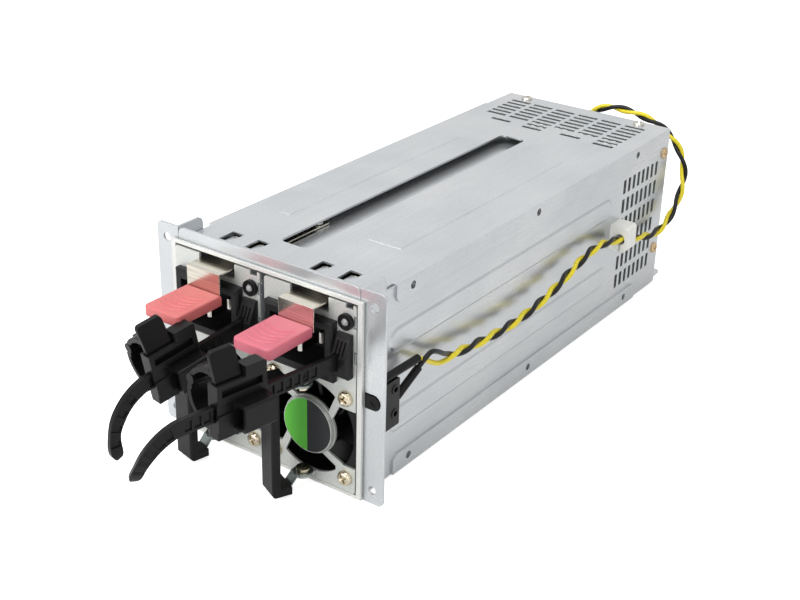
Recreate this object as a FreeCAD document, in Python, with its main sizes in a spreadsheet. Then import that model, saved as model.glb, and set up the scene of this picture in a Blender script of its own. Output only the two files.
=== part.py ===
import FreeCAD, Part
import math
import os
import re
import Sketcher
from FreeCAD import Placement, Rotation, Vector

# Hot swap server power supply: a sheet steel cage that holds two power modules on edge.
# Millimetres. Origin: centre of the four holes of the mounting flange, on its front face.
# +X is right as seen from the front, +Y is the way a module slides in, +Z is up.

SIZES = {
    # cage
    "cage_length": 230.0,
    "side_sheet": 1.0,
    "cover_sheet": 0.8,
    "box_low": -40.0,
    "box_high": 36.2,
    "rear_flange": 7.8,
    "tongue_length": 12.0,
    "tongue_inset": 2.3,
    # mounting flange
    "flange_height": 82.0,
    "flange_reach": 9.4,
    "flange_corner": 2.0,
    "hole_pitch_x": 94.0,
    "hole_pitch_z": 71.0,
    "hole_radius": 1.7,
    "ear_length": 13.0,
    "ear_corner": 2.5,
    # cover lips and their holes
    "lip_start": 18.0,
    "lip_end": 208.0,
    "top_lip": 7.7,
    "low_lip": 7.6,
    "front_lip": 4.8,
    "lip_corner": 3.5,
    "lip_hole_radius": 1.5,
    "lip_hole_first": 27.6,
    "lip_hole_pitch": 84.8,
    "lip_hole_drop": 3.5,
    "lip_hole_rise": 4.0,
    # ribs of the side panels
    "rib_front": 14.8,
    "rib_rear": 177.6,
    "rib_raise": 0.5,
    "rib_slope": 1.4,
    "rib_foot": 0.2,
    "upper_rib_low": 9.1,
    "upper_rib_high": 19.7,
    "lower_rib_low": -23.0,
    "lower_rib_high": -12.3,
    # vent slots
    "vent_width": 2.4,
    "side_vent_length": 6.5,
    "side_vent_front": 187.6,
    "side_vent_high": 23.4,
    "side_vent_rise": 9.06,
    "vent_pitch": 4.37,
    "top_vent_length": 9.9,
    "top_vent_left": -35.6,
    "top_vent_step": 12.0,
    "top_vent_rear": 221.5,
    "lone_vent_lead": 1.5,
    # openings of the top cover
    "slot_left": -12.3,
    "slot_right": -0.2,
    "slot_front": 22.0,
    "slot_rear": 173.5,
    "slot_corner": 2.5,
    "window_front": 9.6,
    "window_length": 8.1,
    "window_width": 5.4,
    "left_barb": -7.0,
    "right_barb": 5.3,
    "panel_raise": 0.3,
    "panel_slope": 0.5,
    "panel_front": 42.0,
    "panel_rear": 158.5,
    "left_panel_start": -32.0,
    "left_panel_end": -24.4,
    "right_panel_start": 12.2,
    "right_panel_end": 27.0,
    # front ring round the bays
    "ring_proud": 1.6,
    "ring_side": 2.0,
    "ring_rim": 1.3,
    "ring_gap": 0.2,
    "ring_bevel": 0.6,
    # rear screws
    "screw_head": 2.6,
    "screw_head_height": 1.1,
    "screw_shank": 1.3,
    "screw_clear": 0.2,
    "screw_length": 3.5,
    "screw_inset": 4.0,
    "top_screw_place": 29.7,
    "top_screw_shift": -1.3,
    "side_screw_high": 25.5,
    "side_screw_low": -21.2,
    # cable outlet in the rear panel
    "outlet_width": 44.0,
    "outlet_height": 22.0,
    "outlet_centre_z": 2.0,
    "bushing_wall": 1.8,
    "bushing_rim": 2.2,
    "bushing_proud": 1.6,
    # backplane
    "backplane_y": 194.0,
    "backplane_thick": 1.6,
    "socket_depth": 9.5,
    "socket_width": 8.0,
    "divider_thick": 1.0,
    "divider_front": 3.0,
    "bay_gap": 0.5,
    # alarm reset button and switch
    "button_centre_z": -0.2,
    "button_height": 5.4,
    "button_inset": 1.5,
    "button_width": 6.0,
    "button_gap": 0.35,
    "button_proud": 0.4,
    "button_back": 1.9,
    "switch_width": 6.4,
    "switch_depth": 10.2,
    "switch_length": 18.4,
    "switch_front": 2.8,
    "switch_low": -13.6,
    "switch_hole": 1.1,
    "switch_hole_pitch": 9.5,
    "switch_hole_low": 5.15,
    "switch_boss": 1.9,
    "switch_boss_proud": 0.3,
    "sleeve_radius": 1.5,
    "cord_radius": 1.9,
    # cable clip
    "clip_front": 178.2,
    "clip_length": 8.8,
    "clip_low": -5.6,
    "clip_high": 5.9,
    "clip_slit": 1.2,
    "clip_bore_reach": 5.0,
    "clip_bore_z": -1.03,
    "clip_bore_slope": -14.93,
    "clip_depth": 8.4,
    "clip_clear": 0.4,
    # power module
    "module_height": 73.5,
    "module_floor_gap": 0.5,
    "module_front": -2.0,
    "module_rear": 183.0,
    "panel_sheet": 1.0,
    "case_sheet": 0.8,
    "case_top_drop": 2.6,
    "corner_notch_start": 15.6,
    "corner_notch_end": 18.8,
    "corner_notch_low": 33.2,
    "edge_notch": 1.0,
    "upper_notch_low": 26.4,
    "upper_notch_high": 31.0,
    "lower_notch_low": 13.2,
    "lower_notch_high": 17.8,
    "notch_tab_gap": 0.5,
    "running_gap": 0.3,
    # fan
    "fan_width": 39.8,
    "fan_depth": 20.0,
    "fan_hole_pitch": 32.0,
    "fan_screw_radius": 1.5,
    "fan_screw_clear": 0.2,
    "fan_screw_head": 2.9,
    "fan_screw_head_height": 1.7,
    "fan_screw_length": 10.0,
    "fan_side_gap": 0.1,
    "fan_floor": 1.8,
    "duct_wall": 1.1,
    "grille_radius": 18.6,
    "grille_reach": 11.5,
    "grille_disc": 11.4,
    "grille_arm": 2.3,
    "grille_arm_root": 3.0,
    "arm_inner_x": 7.5,
    "arm_inner_z": 3.2,
    "arm_outer_x": 12.6,
    "arm_outer_z": 14.0,
    "label_radius": 10.7,
    "label_proud": 1.4,
    "label_groove": 0.45,
    "hub_radius": 10.6,
    "hub_front": 1.2,
    "hub_rear": 16.0,
    "blade_tip_gap": 0.6,
    "blade_thick": 1.0,
    "blade_chord": 14.0,
    "blade_pitch_angle": 38.0,
    "shaft_radius": 1.5,
    "shaft_clear": 0.05,
    "motor_radius": 10.0,
    "motor_plate": 2.0,
    "strut_width": 3.0,
    # appliance inlet
    "inlet_offset": -3.1,
    "inlet_rise": 12.85,
    "inlet_round": 1.2,
    "inlet_width": 30.2,
    "inlet_height": 23.1,
    "inlet_proud": 2.9,
    "inlet_body_width": 27.0,
    "inlet_body_height": 20.2,
    "inlet_body_depth": 16.0,
    "inlet_mouth_width": 24.2,
    "inlet_mouth_height": 16.4,
    "inlet_mouth_depth": 14.5,
    "inlet_mouth_chamfer": 4.6,
    "pin_pitch": 14.0,
    "pin_offset": 2.0,
    "pin_width": 2.0,
    "pin_height": 4.0,
    "pin_gap": 0.05,
    "line_pin_front": -1.0,
    "earth_pin_front": -4.0,
    "pin_rear": 17.0,
    # status light
    "light_offset": 16.2,
    "light_z": 28.5,
    "light_ring": 3.0,
    "light_barrel": 2.3,
    "light_lens": 1.4,
    "light_proud": 1.4,
    "light_groove": 0.4,
    # latch
    "latch_width": 15.3,
    "latch_sheet": 0.6,
    "latch_rise": 0.3,
    "foot_width": 11.0,
    "rivet_place": 5.0,
    "rivet_y": 48.5,
    "rivet_stem": 1.2,
    "rivet_head": 2.0,
    "rivet_gap": 0.3,
    "latch_bend": -8.5,
    "latch_root": 44.0,
    "latch_tail": 52.0,
    "barb_front": 10.5,
    "barb_rear": 17.0,
    "barb_height": 1.8,
    "barb_width": 3.4,
    "barb_shift": 0.8,
    "tab_width": 14.8,
    "tab_low": 22.8,
    "tab_thick": 3.5,
    "tab_front": -30.5,
    "tab_rear": -9.3,
    "tab_corner": 1.6,
    "tab_slot_gap": 0.1,
    "channel_width": 17.0,
    "channel_depth": 3.8,
    # handle
    "pivot_y": -6.0,
    "grip_front": -14.0,
    "grip_thick": 3.0,
    "grip_width": 10.2,
    "grip_low": -39.5,
    "grip_high": 6.1,
    "hook_height": 3.0,
    "hook_end": -6.6,
    "grip_corner": 1.2,
    "lug_radius": 3.7,
    "lug_hole_clear": 0.08,
    "lug_low": -35.0,
    "lug_high": 1.6,
    "bracket_sheet": 0.8,
    "bracket_width": 5.0,
    "bracket_gap": 0.05,
    "joggle_start": -3.3,
    "joggle_end": -6.0,
    "pivot_shank": 1.4,
    "pivot_head": 2.6,
    "pivot_head_height": 1.2,
    "pivot_gap": 0.15,
    "tab_plate": 1.0,
    "tab_plate_width": 5.4,
    "tab_plate_reach": 6.7,
    # strap and cord clamp, in the strap's own frame: forward is -Y from its root
    "root_offset": 14.6,
    "root_y": -7.2,
    "root_z": 14.4,
    "strap_thick": 1.8,
    "strap_height": 5.6,
    "strap_yaw": -10.3,
    "rack_first": 8.0,
    "rack_pitch": 3.6,
    "rack_cell": 2.6,
    "rack_cell_height": 3.6,
    "rack_cell_depth": 0.5,
    "rack_dimple": 0.9,
    "tongue_end": 3.4,
    "socket_gap": 0.3,
    "anchor_start": 12.9,
    "anchor_end": 18.9,
    "anchor_groove": 0.6,
    "clamp_length": 19.5,
    "clamp_gap": 0.3,
    "clamp_left": -2.6,
    "clamp_right": 2.4,
    "clamp_low": -9.4,
    "clamp_high": 13.4,
    "clamp_core_right": 2.0,
    "clamp_step": 3.4,
    "window_low": 5.6,
    "window_high": 8.4,
    "window_inset": 1.8,
    "pod_left": 1.2,
    "pod_right": 7.2,
    "pod_low": -7.4,
    "pod_high": 2.1,
    "pod_start": 6.9,
    "pod_wall": 1.2,
    "fin_right": 2.6,
    "fin_high": -0.6,
    "fin_front_low": -6.4,
    "loop_radius": 11.0,
    "loop_wall": 1.8,
    "loop_length": 10.0,
    "loop_set_back": 2.7,
    "loop_centre_n": -6.5,
    "loop_centre_z": 1.0,
    "knuckle_radius": 1.9,
    "knuckle_n": -15.9,
    "knuckle_z": 4.6,
    "flap_rib": 0.5,
    "lever_length": 10.0,
    "lever_thick": 1.6,
    "lever_rise": 9.0,
    "lever_lean": -3.1,
    "lever_root": 1.9,
    # circuit parts
    "board_offset": -14.5,
    "board_thick": 1.6,
    "board_front": 20.5,
    "finger_end": 191.5,
    "finger_low": -30.0,
    "finger_high": 6.0,
    "capacitor_radius": 9.0,
    "capacitor_length": 28.0,
}
VENT_COLUMNS = 8
SIDE_VENT_ROWS = 6
TOP_VENT_ROWS = (6, 6, 8, 6, 6, 8)
REAR_VENT_COLUMNS = 14
BLADES = 7
LONE_VENTS = (0.57, 3.57)
# each module: side of the cage, handle swing, strap pitch, straight run and place of the clamp on it
MODULES = {
    "left": {"side": -1, "swing": -13.0, "pitch": -11.0, "run": 41.5, "clamp_start": 18.5},
    "right": {"side": 1, "swing": -25.0, "pitch": 0.0, "run": 62.0, "clamp_start": 30.0},
}
# how each strap's tail leaves its run: aside, forward and down from the root, and share of its height
TAILS = {
    "left": ((0.0, 41.5, 0.0, 1.0), (0.0, 46.2, 1.5, 0.97), (0.0, 50.8, 4.4, 0.92), (0.1, 54.4, 8.6, 0.84),
             (0.3, 56.6, 14.0, 0.75), (0.5, 57.0, 20.6, 0.64), (0.5, 56.8, 21.8, 0.34)),
    "right": ((0.0, 62.0, 0.0, 1.0), (0.2, 65.4, 0.6, 0.97), (0.8, 68.5, 2.3, 0.92), (1.9, 71.2, 5.0, 0.86),
              (3.3, 73.3, 8.5, 0.79), (5.0, 74.6, 12.4, 0.71), (6.9, 75.1, 16.0, 0.64), (7.5, 75.2, 17.2, 0.34)),
}
# side profile of the strap's anchor: forward of the panel, and height
ANCHOR_PROFILE = (
    (0.0, 24.1), (-1.2, 24.1), (-1.8, 22.5), (-4.8, 16.2), (-4.8, 9.6), (-2.6, 7.8), (0.0, 7.8),
)
# shrink sleeves, from the switch to where the two wires meet
SLEEVES = (
    ((47.0, 5.2, 6.35), (47.3, 25.6, 6.3)),
    ((47.0, 13.8, -3.9), (47.3, 26.0, 2.4)),
)
# route of the twisted pair: along the right side, through the clip, round the rear and into the outlet
CORD_ROUTE = (
    (47.4, 27.4, 4.5), (47.6, 42.0, 0.6), (47.9, 58.0, -2.6), (48.2, 80.0, -4.8), (48.2, 102.0, -4.8),
    (47.9, 122.0, -2.2), (47.5, 139.0, 1.8), (47.3, 153.0, 4.2), (47.3, 166.0, 3.4), (47.3, 199.0, -5.4),
    (47.4, 213.0, -9.2), (47.7, 226.0, -7.0), (47.9, 235.8, 1.6), (47.9, 239.6, 11.6), (44.0, 242.0, 21.8),
    (35.6, 243.2, 29.8), (25.0, 243.7, 34.0), (7.0, 243.8, 36.2), (-3.7, 243.8, 32.4), (-11.6, 243.4, 24.4),
    (-14.8, 241.0, 13.6), (-15.0, 233.6, 4.6), (-15.0, 223.4, 0.4), (-15.0, 211.0, -0.4),
)
# contact pins of the inlet: place across and up from its centre, and where the tip lies
PINS = {
    "line": ("-pin_pitch / 2", "pin_offset", "line_pin_front"),
    "neutral": ("pin_pitch / 2", "pin_offset", "line_pin_front"),
    "earth": ("0", "-pin_offset", "earth_pin_front"),
}
PIVOT_PLAY = "running_gap"

os.makedirs("parts", exist_ok=True)
doc = FreeCAD.newDocument("PowerSupply")
sheet = doc.addObject("Spreadsheet::Sheet", "Sizes")
for row, (alias, number) in enumerate(SIZES.items(), start=1):
    sheet.set(f"A{row}", alias)
    sheet.set(f"B{row}", str(number))
    sheet.setAlias(f"B{row}", alias)
doc.recompute()
nodes = []


def size(alias):
    """A driving dimension as the sheet holds it."""
    return float(sheet.get(alias))


def bind(item, target, text):
    """Bind one property to an expression in which each alias is a cell of the sheet."""
    linked = re.sub(r"[a-z][a-z_0-9]*", lambda word: "Sizes." + word[0] if word[0] in SIZES else word[0], text)
    item.setExpression(target, linked)


def box(name, x, y, z):
    """A block from low to high along each axis; every bound is an expression."""
    item = doc.addObject("Part::Box", name)
    for side, axis, (low, high) in zip(("Length", "Width", "Height"), "xyz", (x, y, z)):
        bind(item, side, f"({high}) - ({low})")
        bind(item, f"Placement.Base.{axis}", low)
    return item


TURNS = {
    "x": Rotation(Vector(0, 1, 0), 90),
    "y": Rotation(Vector(1, 0, 0), -90),
    "z": Rotation(),
}


def rod(name, radius, axis, centre, span):
    """A cylinder along one axis; centre gives its place on the other two, in X, Y, Z order."""
    item = doc.addObject("Part::Cylinder", name)
    item.Placement = Placement(Vector(), TURNS[axis])
    bind(item, "Radius", radius)
    bind(item, "Height", f"({span[1]}) - ({span[0]})")
    places = list(centre)
    places.insert("xyz".index(axis), span[0])
    for letter, place in zip("xyz", places):
        bind(item, f"Placement.Base.{letter}", place)
    return item


def union(name, *items):
    item = doc.addObject("Part::MultiFuse", name)
    item.Shapes = list(items)
    item.Refine = True
    return item


def minus(name, base, *tools):
    item = doc.addObject("Part::Cut", name)
    item.Base = base
    item.Tool = tools[0] if len(tools) == 1 else group(name + "_tools", *tools)
    item.Refine = True
    return item


def common(name, *items):
    item = doc.addObject("Part::MultiCommon", name)
    item.Shapes = list(items)
    return item


def group(name, *items):
    item = doc.addObject("Part::Compound", name)
    item.Links = list(items)
    return item


def eased(name, base, radius, keep, kind="Part::Fillet"):
    """Round or bevel the edges of base that keep() accepts, given their centre and direction."""
    doc.recompute()
    item = doc.addObject(kind, name)
    item.Base = base
    chosen = []
    for number, edge in enumerate(base.Shape.Edges, start=1):
        if edge.Curve.TypeId != "Part::GeomLine":
            continue
        way = edge.Curve.Direction
        axis = max("xyz", key=lambda letter: abs(getattr(way, letter)))
        if keep(edge.CenterOfMass, axis):
            chosen.append((number, radius, radius))
    item.Edges = chosen
    return item


def beside(side, near, far):
    """A span on one side of the middle plane, its bounds in rising order."""
    if side > 0:
        return (near, far)
    return (f"-({far})", f"-({near})")


def finish(name, item, module=None, turn=None):
    """Name a sub-part, and move a module's piece from its own middle plane to its bay."""
    item.Label = name
    if turn is not None:
        item.Placement = turn
    if module is not None:
        shift = MODULES[module]["side"] * bay_centre()
        place = item.Placement.copy()
        place.Base = place.Base + Vector(shift, 0, 0)
        item.Placement = place
    nodes.append(item)
    return item


def bay_centre():
    """Distance of a bay's middle plane from the cage's middle plane."""
    width = size("fan_width") + 2 * size("fan_side_gap")
    return size("divider_thick") / 2 + size("bay_gap") + width / 2


def tapered(name, side, y, z, raise_to, slope):
    """A long embossed rib on a side panel, its long edges sloped and its ends round cones."""
    sign = "" if side > 0 else "-"
    base = f"{sign}({WALL} - rib_foot)"
    height = f"({raise_to} + rib_foot)"
    low, high = z
    middle = f"(({low}) + ({high})) / 2"
    half = f"((({high}) - ({low})) / 2)"
    bar = doc.addObject("Part::Wedge", name + "_bar")
    bar.Placement = Placement(Vector(), Rotation(Vector(0, 0, 1), -90 * side))
    along = (f"-({y[1]} - {half})", f"-({y[0]} + {half})") if side > 0 else (f"{y[0]} + {half}", f"{y[1]} - {half}")
    for bound, text in (
        ("Xmin", along[0]), ("Xmax", along[1]), ("X2min", along[0]), ("X2max", along[1]), ("Ymin", "0"),
        ("Ymax", height), ("Zmin", low), ("Zmax", high), ("Z2min", f"({low}) + {slope}"), ("Z2max", f"({high}) - {slope}"),
        ("Placement.Base.x", base),
    ):
        bind(bar, bound, text)
    pieces = [bar]
    for end, place in (("front", f"{y[0]} + {half}"), ("rear", f"{y[1]} - {half}")):
        cone = doc.addObject("Part::Cone", f"{name}_{end}")
        cone.Placement = Placement(Vector(), Rotation(Vector(0, 1, 0), 90 * side))
        for bound, text in (
            ("Radius1", half), ("Radius2", f"{half} - {slope}"), ("Height", height),
            ("Placement.Base.x", base), ("Placement.Base.y", place), ("Placement.Base.z", middle),
        ):
            bind(cone, bound, text)
        pieces.append(cone)
    return union(name, *pieces)


def embossed(name, x, y, foot, top, slope):
    """A raised panel of the top cover, sloped on all four sides."""
    item = doc.addObject("Part::Wedge", name)
    item.Placement = Placement(Vector(), Rotation(Vector(1, 0, 0), 90))
    for bound, text in (
        ("Xmin", x[0]), ("Xmax", x[1]), ("X2min", f"{x[0]} + {slope}"), ("X2max", f"{x[1]} - {slope}"),
        ("Ymin", foot), ("Ymax", top), ("Zmin", f"-({y[1]})"), ("Zmax", f"-({y[0]})"),
        ("Z2min", f"-({y[1]}) + {slope}"), ("Z2max", f"-({y[0]}) - {slope}"),
    ):
        bind(item, bound, text)
    return item


def body(name):
    return doc.addObject("PartDesign::Body", name)


def sketch(owner, role, name, outlines):
    """A sketch on one of the body's own planes, its corners and circles bound to the sheet."""
    item = owner.newObject("Sketcher::SketchObject", name)
    plane = next(feature for feature in owner.Origin.OriginFeatures if feature.Role == role)
    item.AttachmentSupport = [(plane, "")]
    item.MapMode = "FlatFace"
    for outline in outlines:
        if outline[0] == "circle":
            add_circle(item, *outline[1:])
        else:
            add_polygon(item, outline)
    return item


def pin_point(item, geometry, point, x, y):
    for way, text in (("DistanceX", x), ("DistanceY", y)):
        index = item.addConstraint(Sketcher.Constraint(way, -1, 1, geometry, point, 0.0))
        bind(item, f"Constraints[{index}]", text)


def add_polygon(item, corners):
    count = len(corners)
    first = item.GeometryCount
    for place in range(count):
        start = Vector(math.cos(math.tau * place / count), math.sin(math.tau * place / count), 0)
        turn = math.tau * (place + 1) / count
        item.addGeometry(Part.LineSegment(start, Vector(math.cos(turn), math.sin(turn), 0)))
    for place, (x, y) in enumerate(corners):
        item.addConstraint(Sketcher.Constraint(
            "Coincident", first + (place - 1) % count, 2, first + place, 1))
        pin_point(item, first + place, 1, x, y)


def add_circle(item, x, y, radius):
    index = item.addGeometry(Part.Circle(Vector(), Vector(0, 0, 1), 1.0))
    pin_point(item, index, 3, x, y)
    constraint = item.addConstraint(Sketcher.Constraint("Radius", index, 1.0))
    bind(item, f"Constraints[{constraint}]", radius)


def pad(owner, profile, length, reverse=False, middle=False):
    item = owner.newObject("PartDesign::Pad", profile.Name + "_pad")
    item.Profile = profile
    bind(item, "Length", length)
    item.Reversed = reverse
    item.Midplane = middle
    return item


def pocket(owner, profile, length, reverse=False, middle=False):
    item = owner.newObject("PartDesign::Pocket", profile.Name + "_pocket")
    item.Profile = profile
    bind(item, "Length", length)
    item.Reversed = reverse
    item.Midplane = middle
    return item


# shared expressions
MODULE_WIDTH = "(fan_width + 2 * fan_side_gap)"
HALF = f"{MODULE_WIDTH} / 2"
INNER = f"(divider_thick / 2 + bay_gap + {MODULE_WIDTH} + running_gap)"
WALL = f"({INNER} + side_sheet)"
LIP = f"({WALL} + cover_sheet)"
BAY = f"(divider_thick / 2 + bay_gap + {MODULE_WIDTH} / 2)"
FLOOR = "(box_low + cover_sheet)"
CEILING = "(box_high - cover_sheet)"
MODULE_LOW = "(box_low + cover_sheet + module_floor_gap)"
MODULE_HIGH = f"({MODULE_LOW} + module_height)"
CASE_HIGH = f"({MODULE_HIGH} - case_top_drop)"
FAN_Z = f"({MODULE_LOW} + fan_floor + fan_width / 2)"
FAN_BORE = "(fan_width / 2 - duct_wall)"
INLET_Z = f"({MODULE_LOW} + fan_floor + fan_width + inlet_rise)"
PANEL_BACK = "(module_front + panel_sheet)"
SCREW_Y = "(cage_length - screw_inset)"
CLIP_BORE = f"({WALL} + clip_bore_reach)"
BUTTON_LEFT = f"({WALL} + button_inset)"


def lip_holes(name, side, z):
    """The three holes through a cover's lip and the side panel behind it."""
    span = beside(side, f"{INNER} - 1", f"{LIP} + 1")
    return [
        rod(f"{name}_{place}", "lip_hole_radius", "x",
            (f"lip_hole_first + {place} * lip_hole_pitch", z), span)
        for place in range(3)
    ]


TOP_HOLE_Z = "box_high - lip_hole_drop"
LOW_HOLE_Z = "box_low + lip_hole_rise"


def cage_side(name, side):
    """A side panel with its turned-out front flange, top ear, ribs and vent slots."""
    wall = box(name + "_wall", beside(side, INNER, WALL), ("0", "cage_length"), (FLOOR, CEILING))
    ear = box(name + "_ear", beside(side, INNER, WALL), ("0", "ear_length"), ("0", "flange_height / 2"))
    ear = eased(name + "_ear_round", ear, size("ear_corner"),
                lambda at, axis: axis == "x" and at.y > 1 and at.z > 1)
    flange = box(name + "_flange", beside(side, INNER, f"{WALL} + flange_reach"),
                 ("0", "side_sheet"), ("-flange_height / 2", "flange_height / 2"))
    flange = eased(name + "_flange_round", flange, size("flange_corner"),
                   lambda at, axis: axis == "y" and abs(at.x) > 2 * bay_centre() + size("side_sheet"))
    ribs = []
    for level in ("upper", "lower"):
        ribs.append(tapered(f"{name}_{level}_rib", side, ("rib_front", "rib_rear"),
                            (f"{level}_rib_low", f"{level}_rib_high"), "rib_raise", "rib_slope"))
    panel = union(name + "_sheet", wall, ear, flange, *ribs)
    tools = [
        rod(f"{name}_hole_{row}", "hole_radius", "y",
            (f"{side} * hole_pitch_x / 2", f"{row} * hole_pitch_z / 2"), ("-1", "side_sheet + 1"))
        for row in (-1, 1)
    ]
    through = beside(side, f"{INNER} - 1", f"{WALL} + 1")
    for column in range(VENT_COLUMNS):
        for row in range(SIDE_VENT_ROWS):
            high = f"side_vent_high - {row} * side_vent_rise"
            front = f"side_vent_front + {column} * vent_pitch"
            tools.append(box(f"{name}_vent_{column}_{row}", through,
                             (front, f"{front} + vent_width"), (f"{high} - side_vent_length", high)))
    tools += lip_holes(name + "_top_hole", side, TOP_HOLE_Z)
    tools += lip_holes(name + "_low_hole", side, LOW_HOLE_Z)
    for level in ("high", "low"):
        tools.append(rod(f"{name}_screw_{level}", "screw_shank + screw_clear", "x",
                         (SCREW_Y, f"side_screw_{level}"), through))
    if side > 0:
        tools.append(button_shape(name + "_button_slot", "button_gap", ("-1", "side_sheet + 1")))
    return finish(name, minus(name, panel, *tools))


def button_shape(name, gap, span):
    """The D shape of the reset button, grown by a gap: a block with a half round at its right."""
    half = f"(button_height / 2 + {gap})"
    middle = f"{BUTTON_LEFT} + button_width - button_height / 2"
    block = box(name + "_block", (f"{BUTTON_LEFT} - {gap}", middle), span,
                (f"button_centre_z - {half}", f"button_centre_z + {half}"))
    end = rod(name + "_end", half, "y", (middle, "button_centre_z"), span)
    return union(name, block, end)


def top_vents(name):
    tools = []
    over = (f"{CEILING} - 1", "box_high + panel_raise + 1")
    for column, rows in enumerate(TOP_VENT_ROWS):
        left = f"top_vent_left + {column} * top_vent_step"
        for row in range(rows):
            rear = f"top_vent_rear - {row} * vent_pitch"
            tools.append(box(f"{name}_vent_{column}_{row}", (left, f"{left} + top_vent_length"),
                             (f"{rear} - vent_width", rear), over))
    # one more slot stands alone in front of the second and the fourth column
    for place in LONE_VENTS:
        left = f"top_vent_left + {place} * top_vent_step"
        front = "top_vent_rear - 7 * vent_pitch + lone_vent_lead"
        tools.append(box(f"{name}_lone_{int(place)}", (left, f"{left} + top_vent_length"),
                         (f"{front} - vent_width", front), over))
    return tools


def cage_top():
    """The top cover: plate, side lips outside the panels, and the turned-up front lip."""
    name = "cage_top_cover"
    sheet_span = (CEILING, "box_high")
    nose = box(name + "_nose", (f"-({INNER} - ring_gap)", f"{INNER} - ring_gap"), ("0", "lip_start"), sheet_span)
    plate = box(name + "_plate", (f"-{LIP}", LIP), ("lip_start", "lip_end"), sheet_span)
    tail = box(name + "_tail", (f"-{WALL}", WALL), ("lip_end", "cage_length"), sheet_span)
    front = box(name + "_front", (f"-({INNER} - ring_gap)", f"{INNER} - ring_gap"),
                ("0", "cover_sheet"), (CEILING, "box_high + front_lip"))
    front = eased(name + "_front_round", front, size("ear_corner"),
                  lambda at, axis: axis == "y" and at.z > size("box_high"))
    pieces = [nose, plate, tail, front]
    for side in (-1, 1):
        lip = box(f"{name}_lip_{side + 1}", beside(side, WALL, LIP), ("lip_start", "lip_end"),
                  ("box_high - top_lip", "box_high"))
        pieces.append(eased(lip.Name + "_round", lip, size("lip_corner"),
                            lambda at, axis: axis == "x" and at.z < size("box_high") - 1
                            and size("lip_start") - 1 < at.y < size("lip_start") + 1
                            or axis == "x" and at.y > size("lip_end") - 1
                            and at.z < size("box_high") - 1))
    for where in ("left", "right"):
        pieces.append(embossed(f"{name}_{where}_raised", (f"{where}_panel_start", f"{where}_panel_end"),
                               ("panel_front", "panel_rear"), "box_high - panel_raise", "box_high + panel_raise",
                               "panel_slope"))
    cover = union(name + "_sheet", *pieces)
    over = (f"{CEILING} - 1", "box_high + 2")
    slot = box(name + "_slot", ("slot_left", "slot_right"), ("slot_front", "slot_rear"), over)
    tools = [eased(name + "_slot_round", slot, size("slot_corner"), lambda at, axis: axis == "z")]
    for module, facts in MODULES.items():
        for barb in ("left_barb", "right_barb"):
            middle = f"{facts['side']} * {BAY} + {barb}"
            tools.append(box(f"{name}_window_{module}_{barb}",
                             (f"{middle} - window_width / 2", f"{middle} + window_width / 2"),
                             ("window_front", "window_front + window_length"), over))
    tools += top_vents(name)
    for side in (-1, 1):
        tools.append(rod(f"{name}_screw_{side + 1}", "screw_shank + screw_clear", "z",
                         (f"{side} * top_screw_place + top_screw_shift", SCREW_Y), over))
        tools += lip_holes(f"{name}_hole_{side + 1}", side, TOP_HOLE_Z)
    return finish(name, minus(name, cover, *tools))


def cage_bottom():
    """The bottom cover: plate, turned-up side lips and the tongue behind the cage."""
    name = "cage_bottom_cover"
    sheet_span = ("box_low", FLOOR)
    nose = box(name + "_nose", (f"-{WALL}", WALL), ("side_sheet", "lip_start"), sheet_span)
    plate = box(name + "_plate", (f"-{LIP}", LIP), ("lip_start", "lip_end"), sheet_span)
    tail = box(name + "_tail", (f"-{WALL}", WALL), ("lip_end", "cage_length"), sheet_span)
    tongue = box(name + "_tongue", (f"-({WALL} - tongue_inset)", f"{WALL} - tongue_inset"),
                 ("lip_end", "cage_length + tongue_length"), sheet_span)
    tongue = eased(name + "_tongue_round", tongue, size("flange_corner"),
                   lambda at, axis: axis == "z" and at.y > size("cage_length"))
    pieces = [nose, plate, tail, tongue]
    tools = []
    for side in (-1, 1):
        lip = box(f"{name}_lip_{side + 1}", beside(side, WALL, LIP), ("lip_start", "lip_end"),
                  ("box_low", "box_low + low_lip"))
        pieces.append(eased(lip.Name + "_round", lip, size("lip_corner"),
                            lambda at, axis: axis == "x" and at.z > size("box_low") + 1
                            and at.y != (size("lip_start") + size("lip_end")) / 2))
        tools += lip_holes(f"{name}_hole_{side + 1}", side, LOW_HOLE_Z)
    return finish(name, minus(name, union(name + "_sheet", *pieces), *tools))


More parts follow.
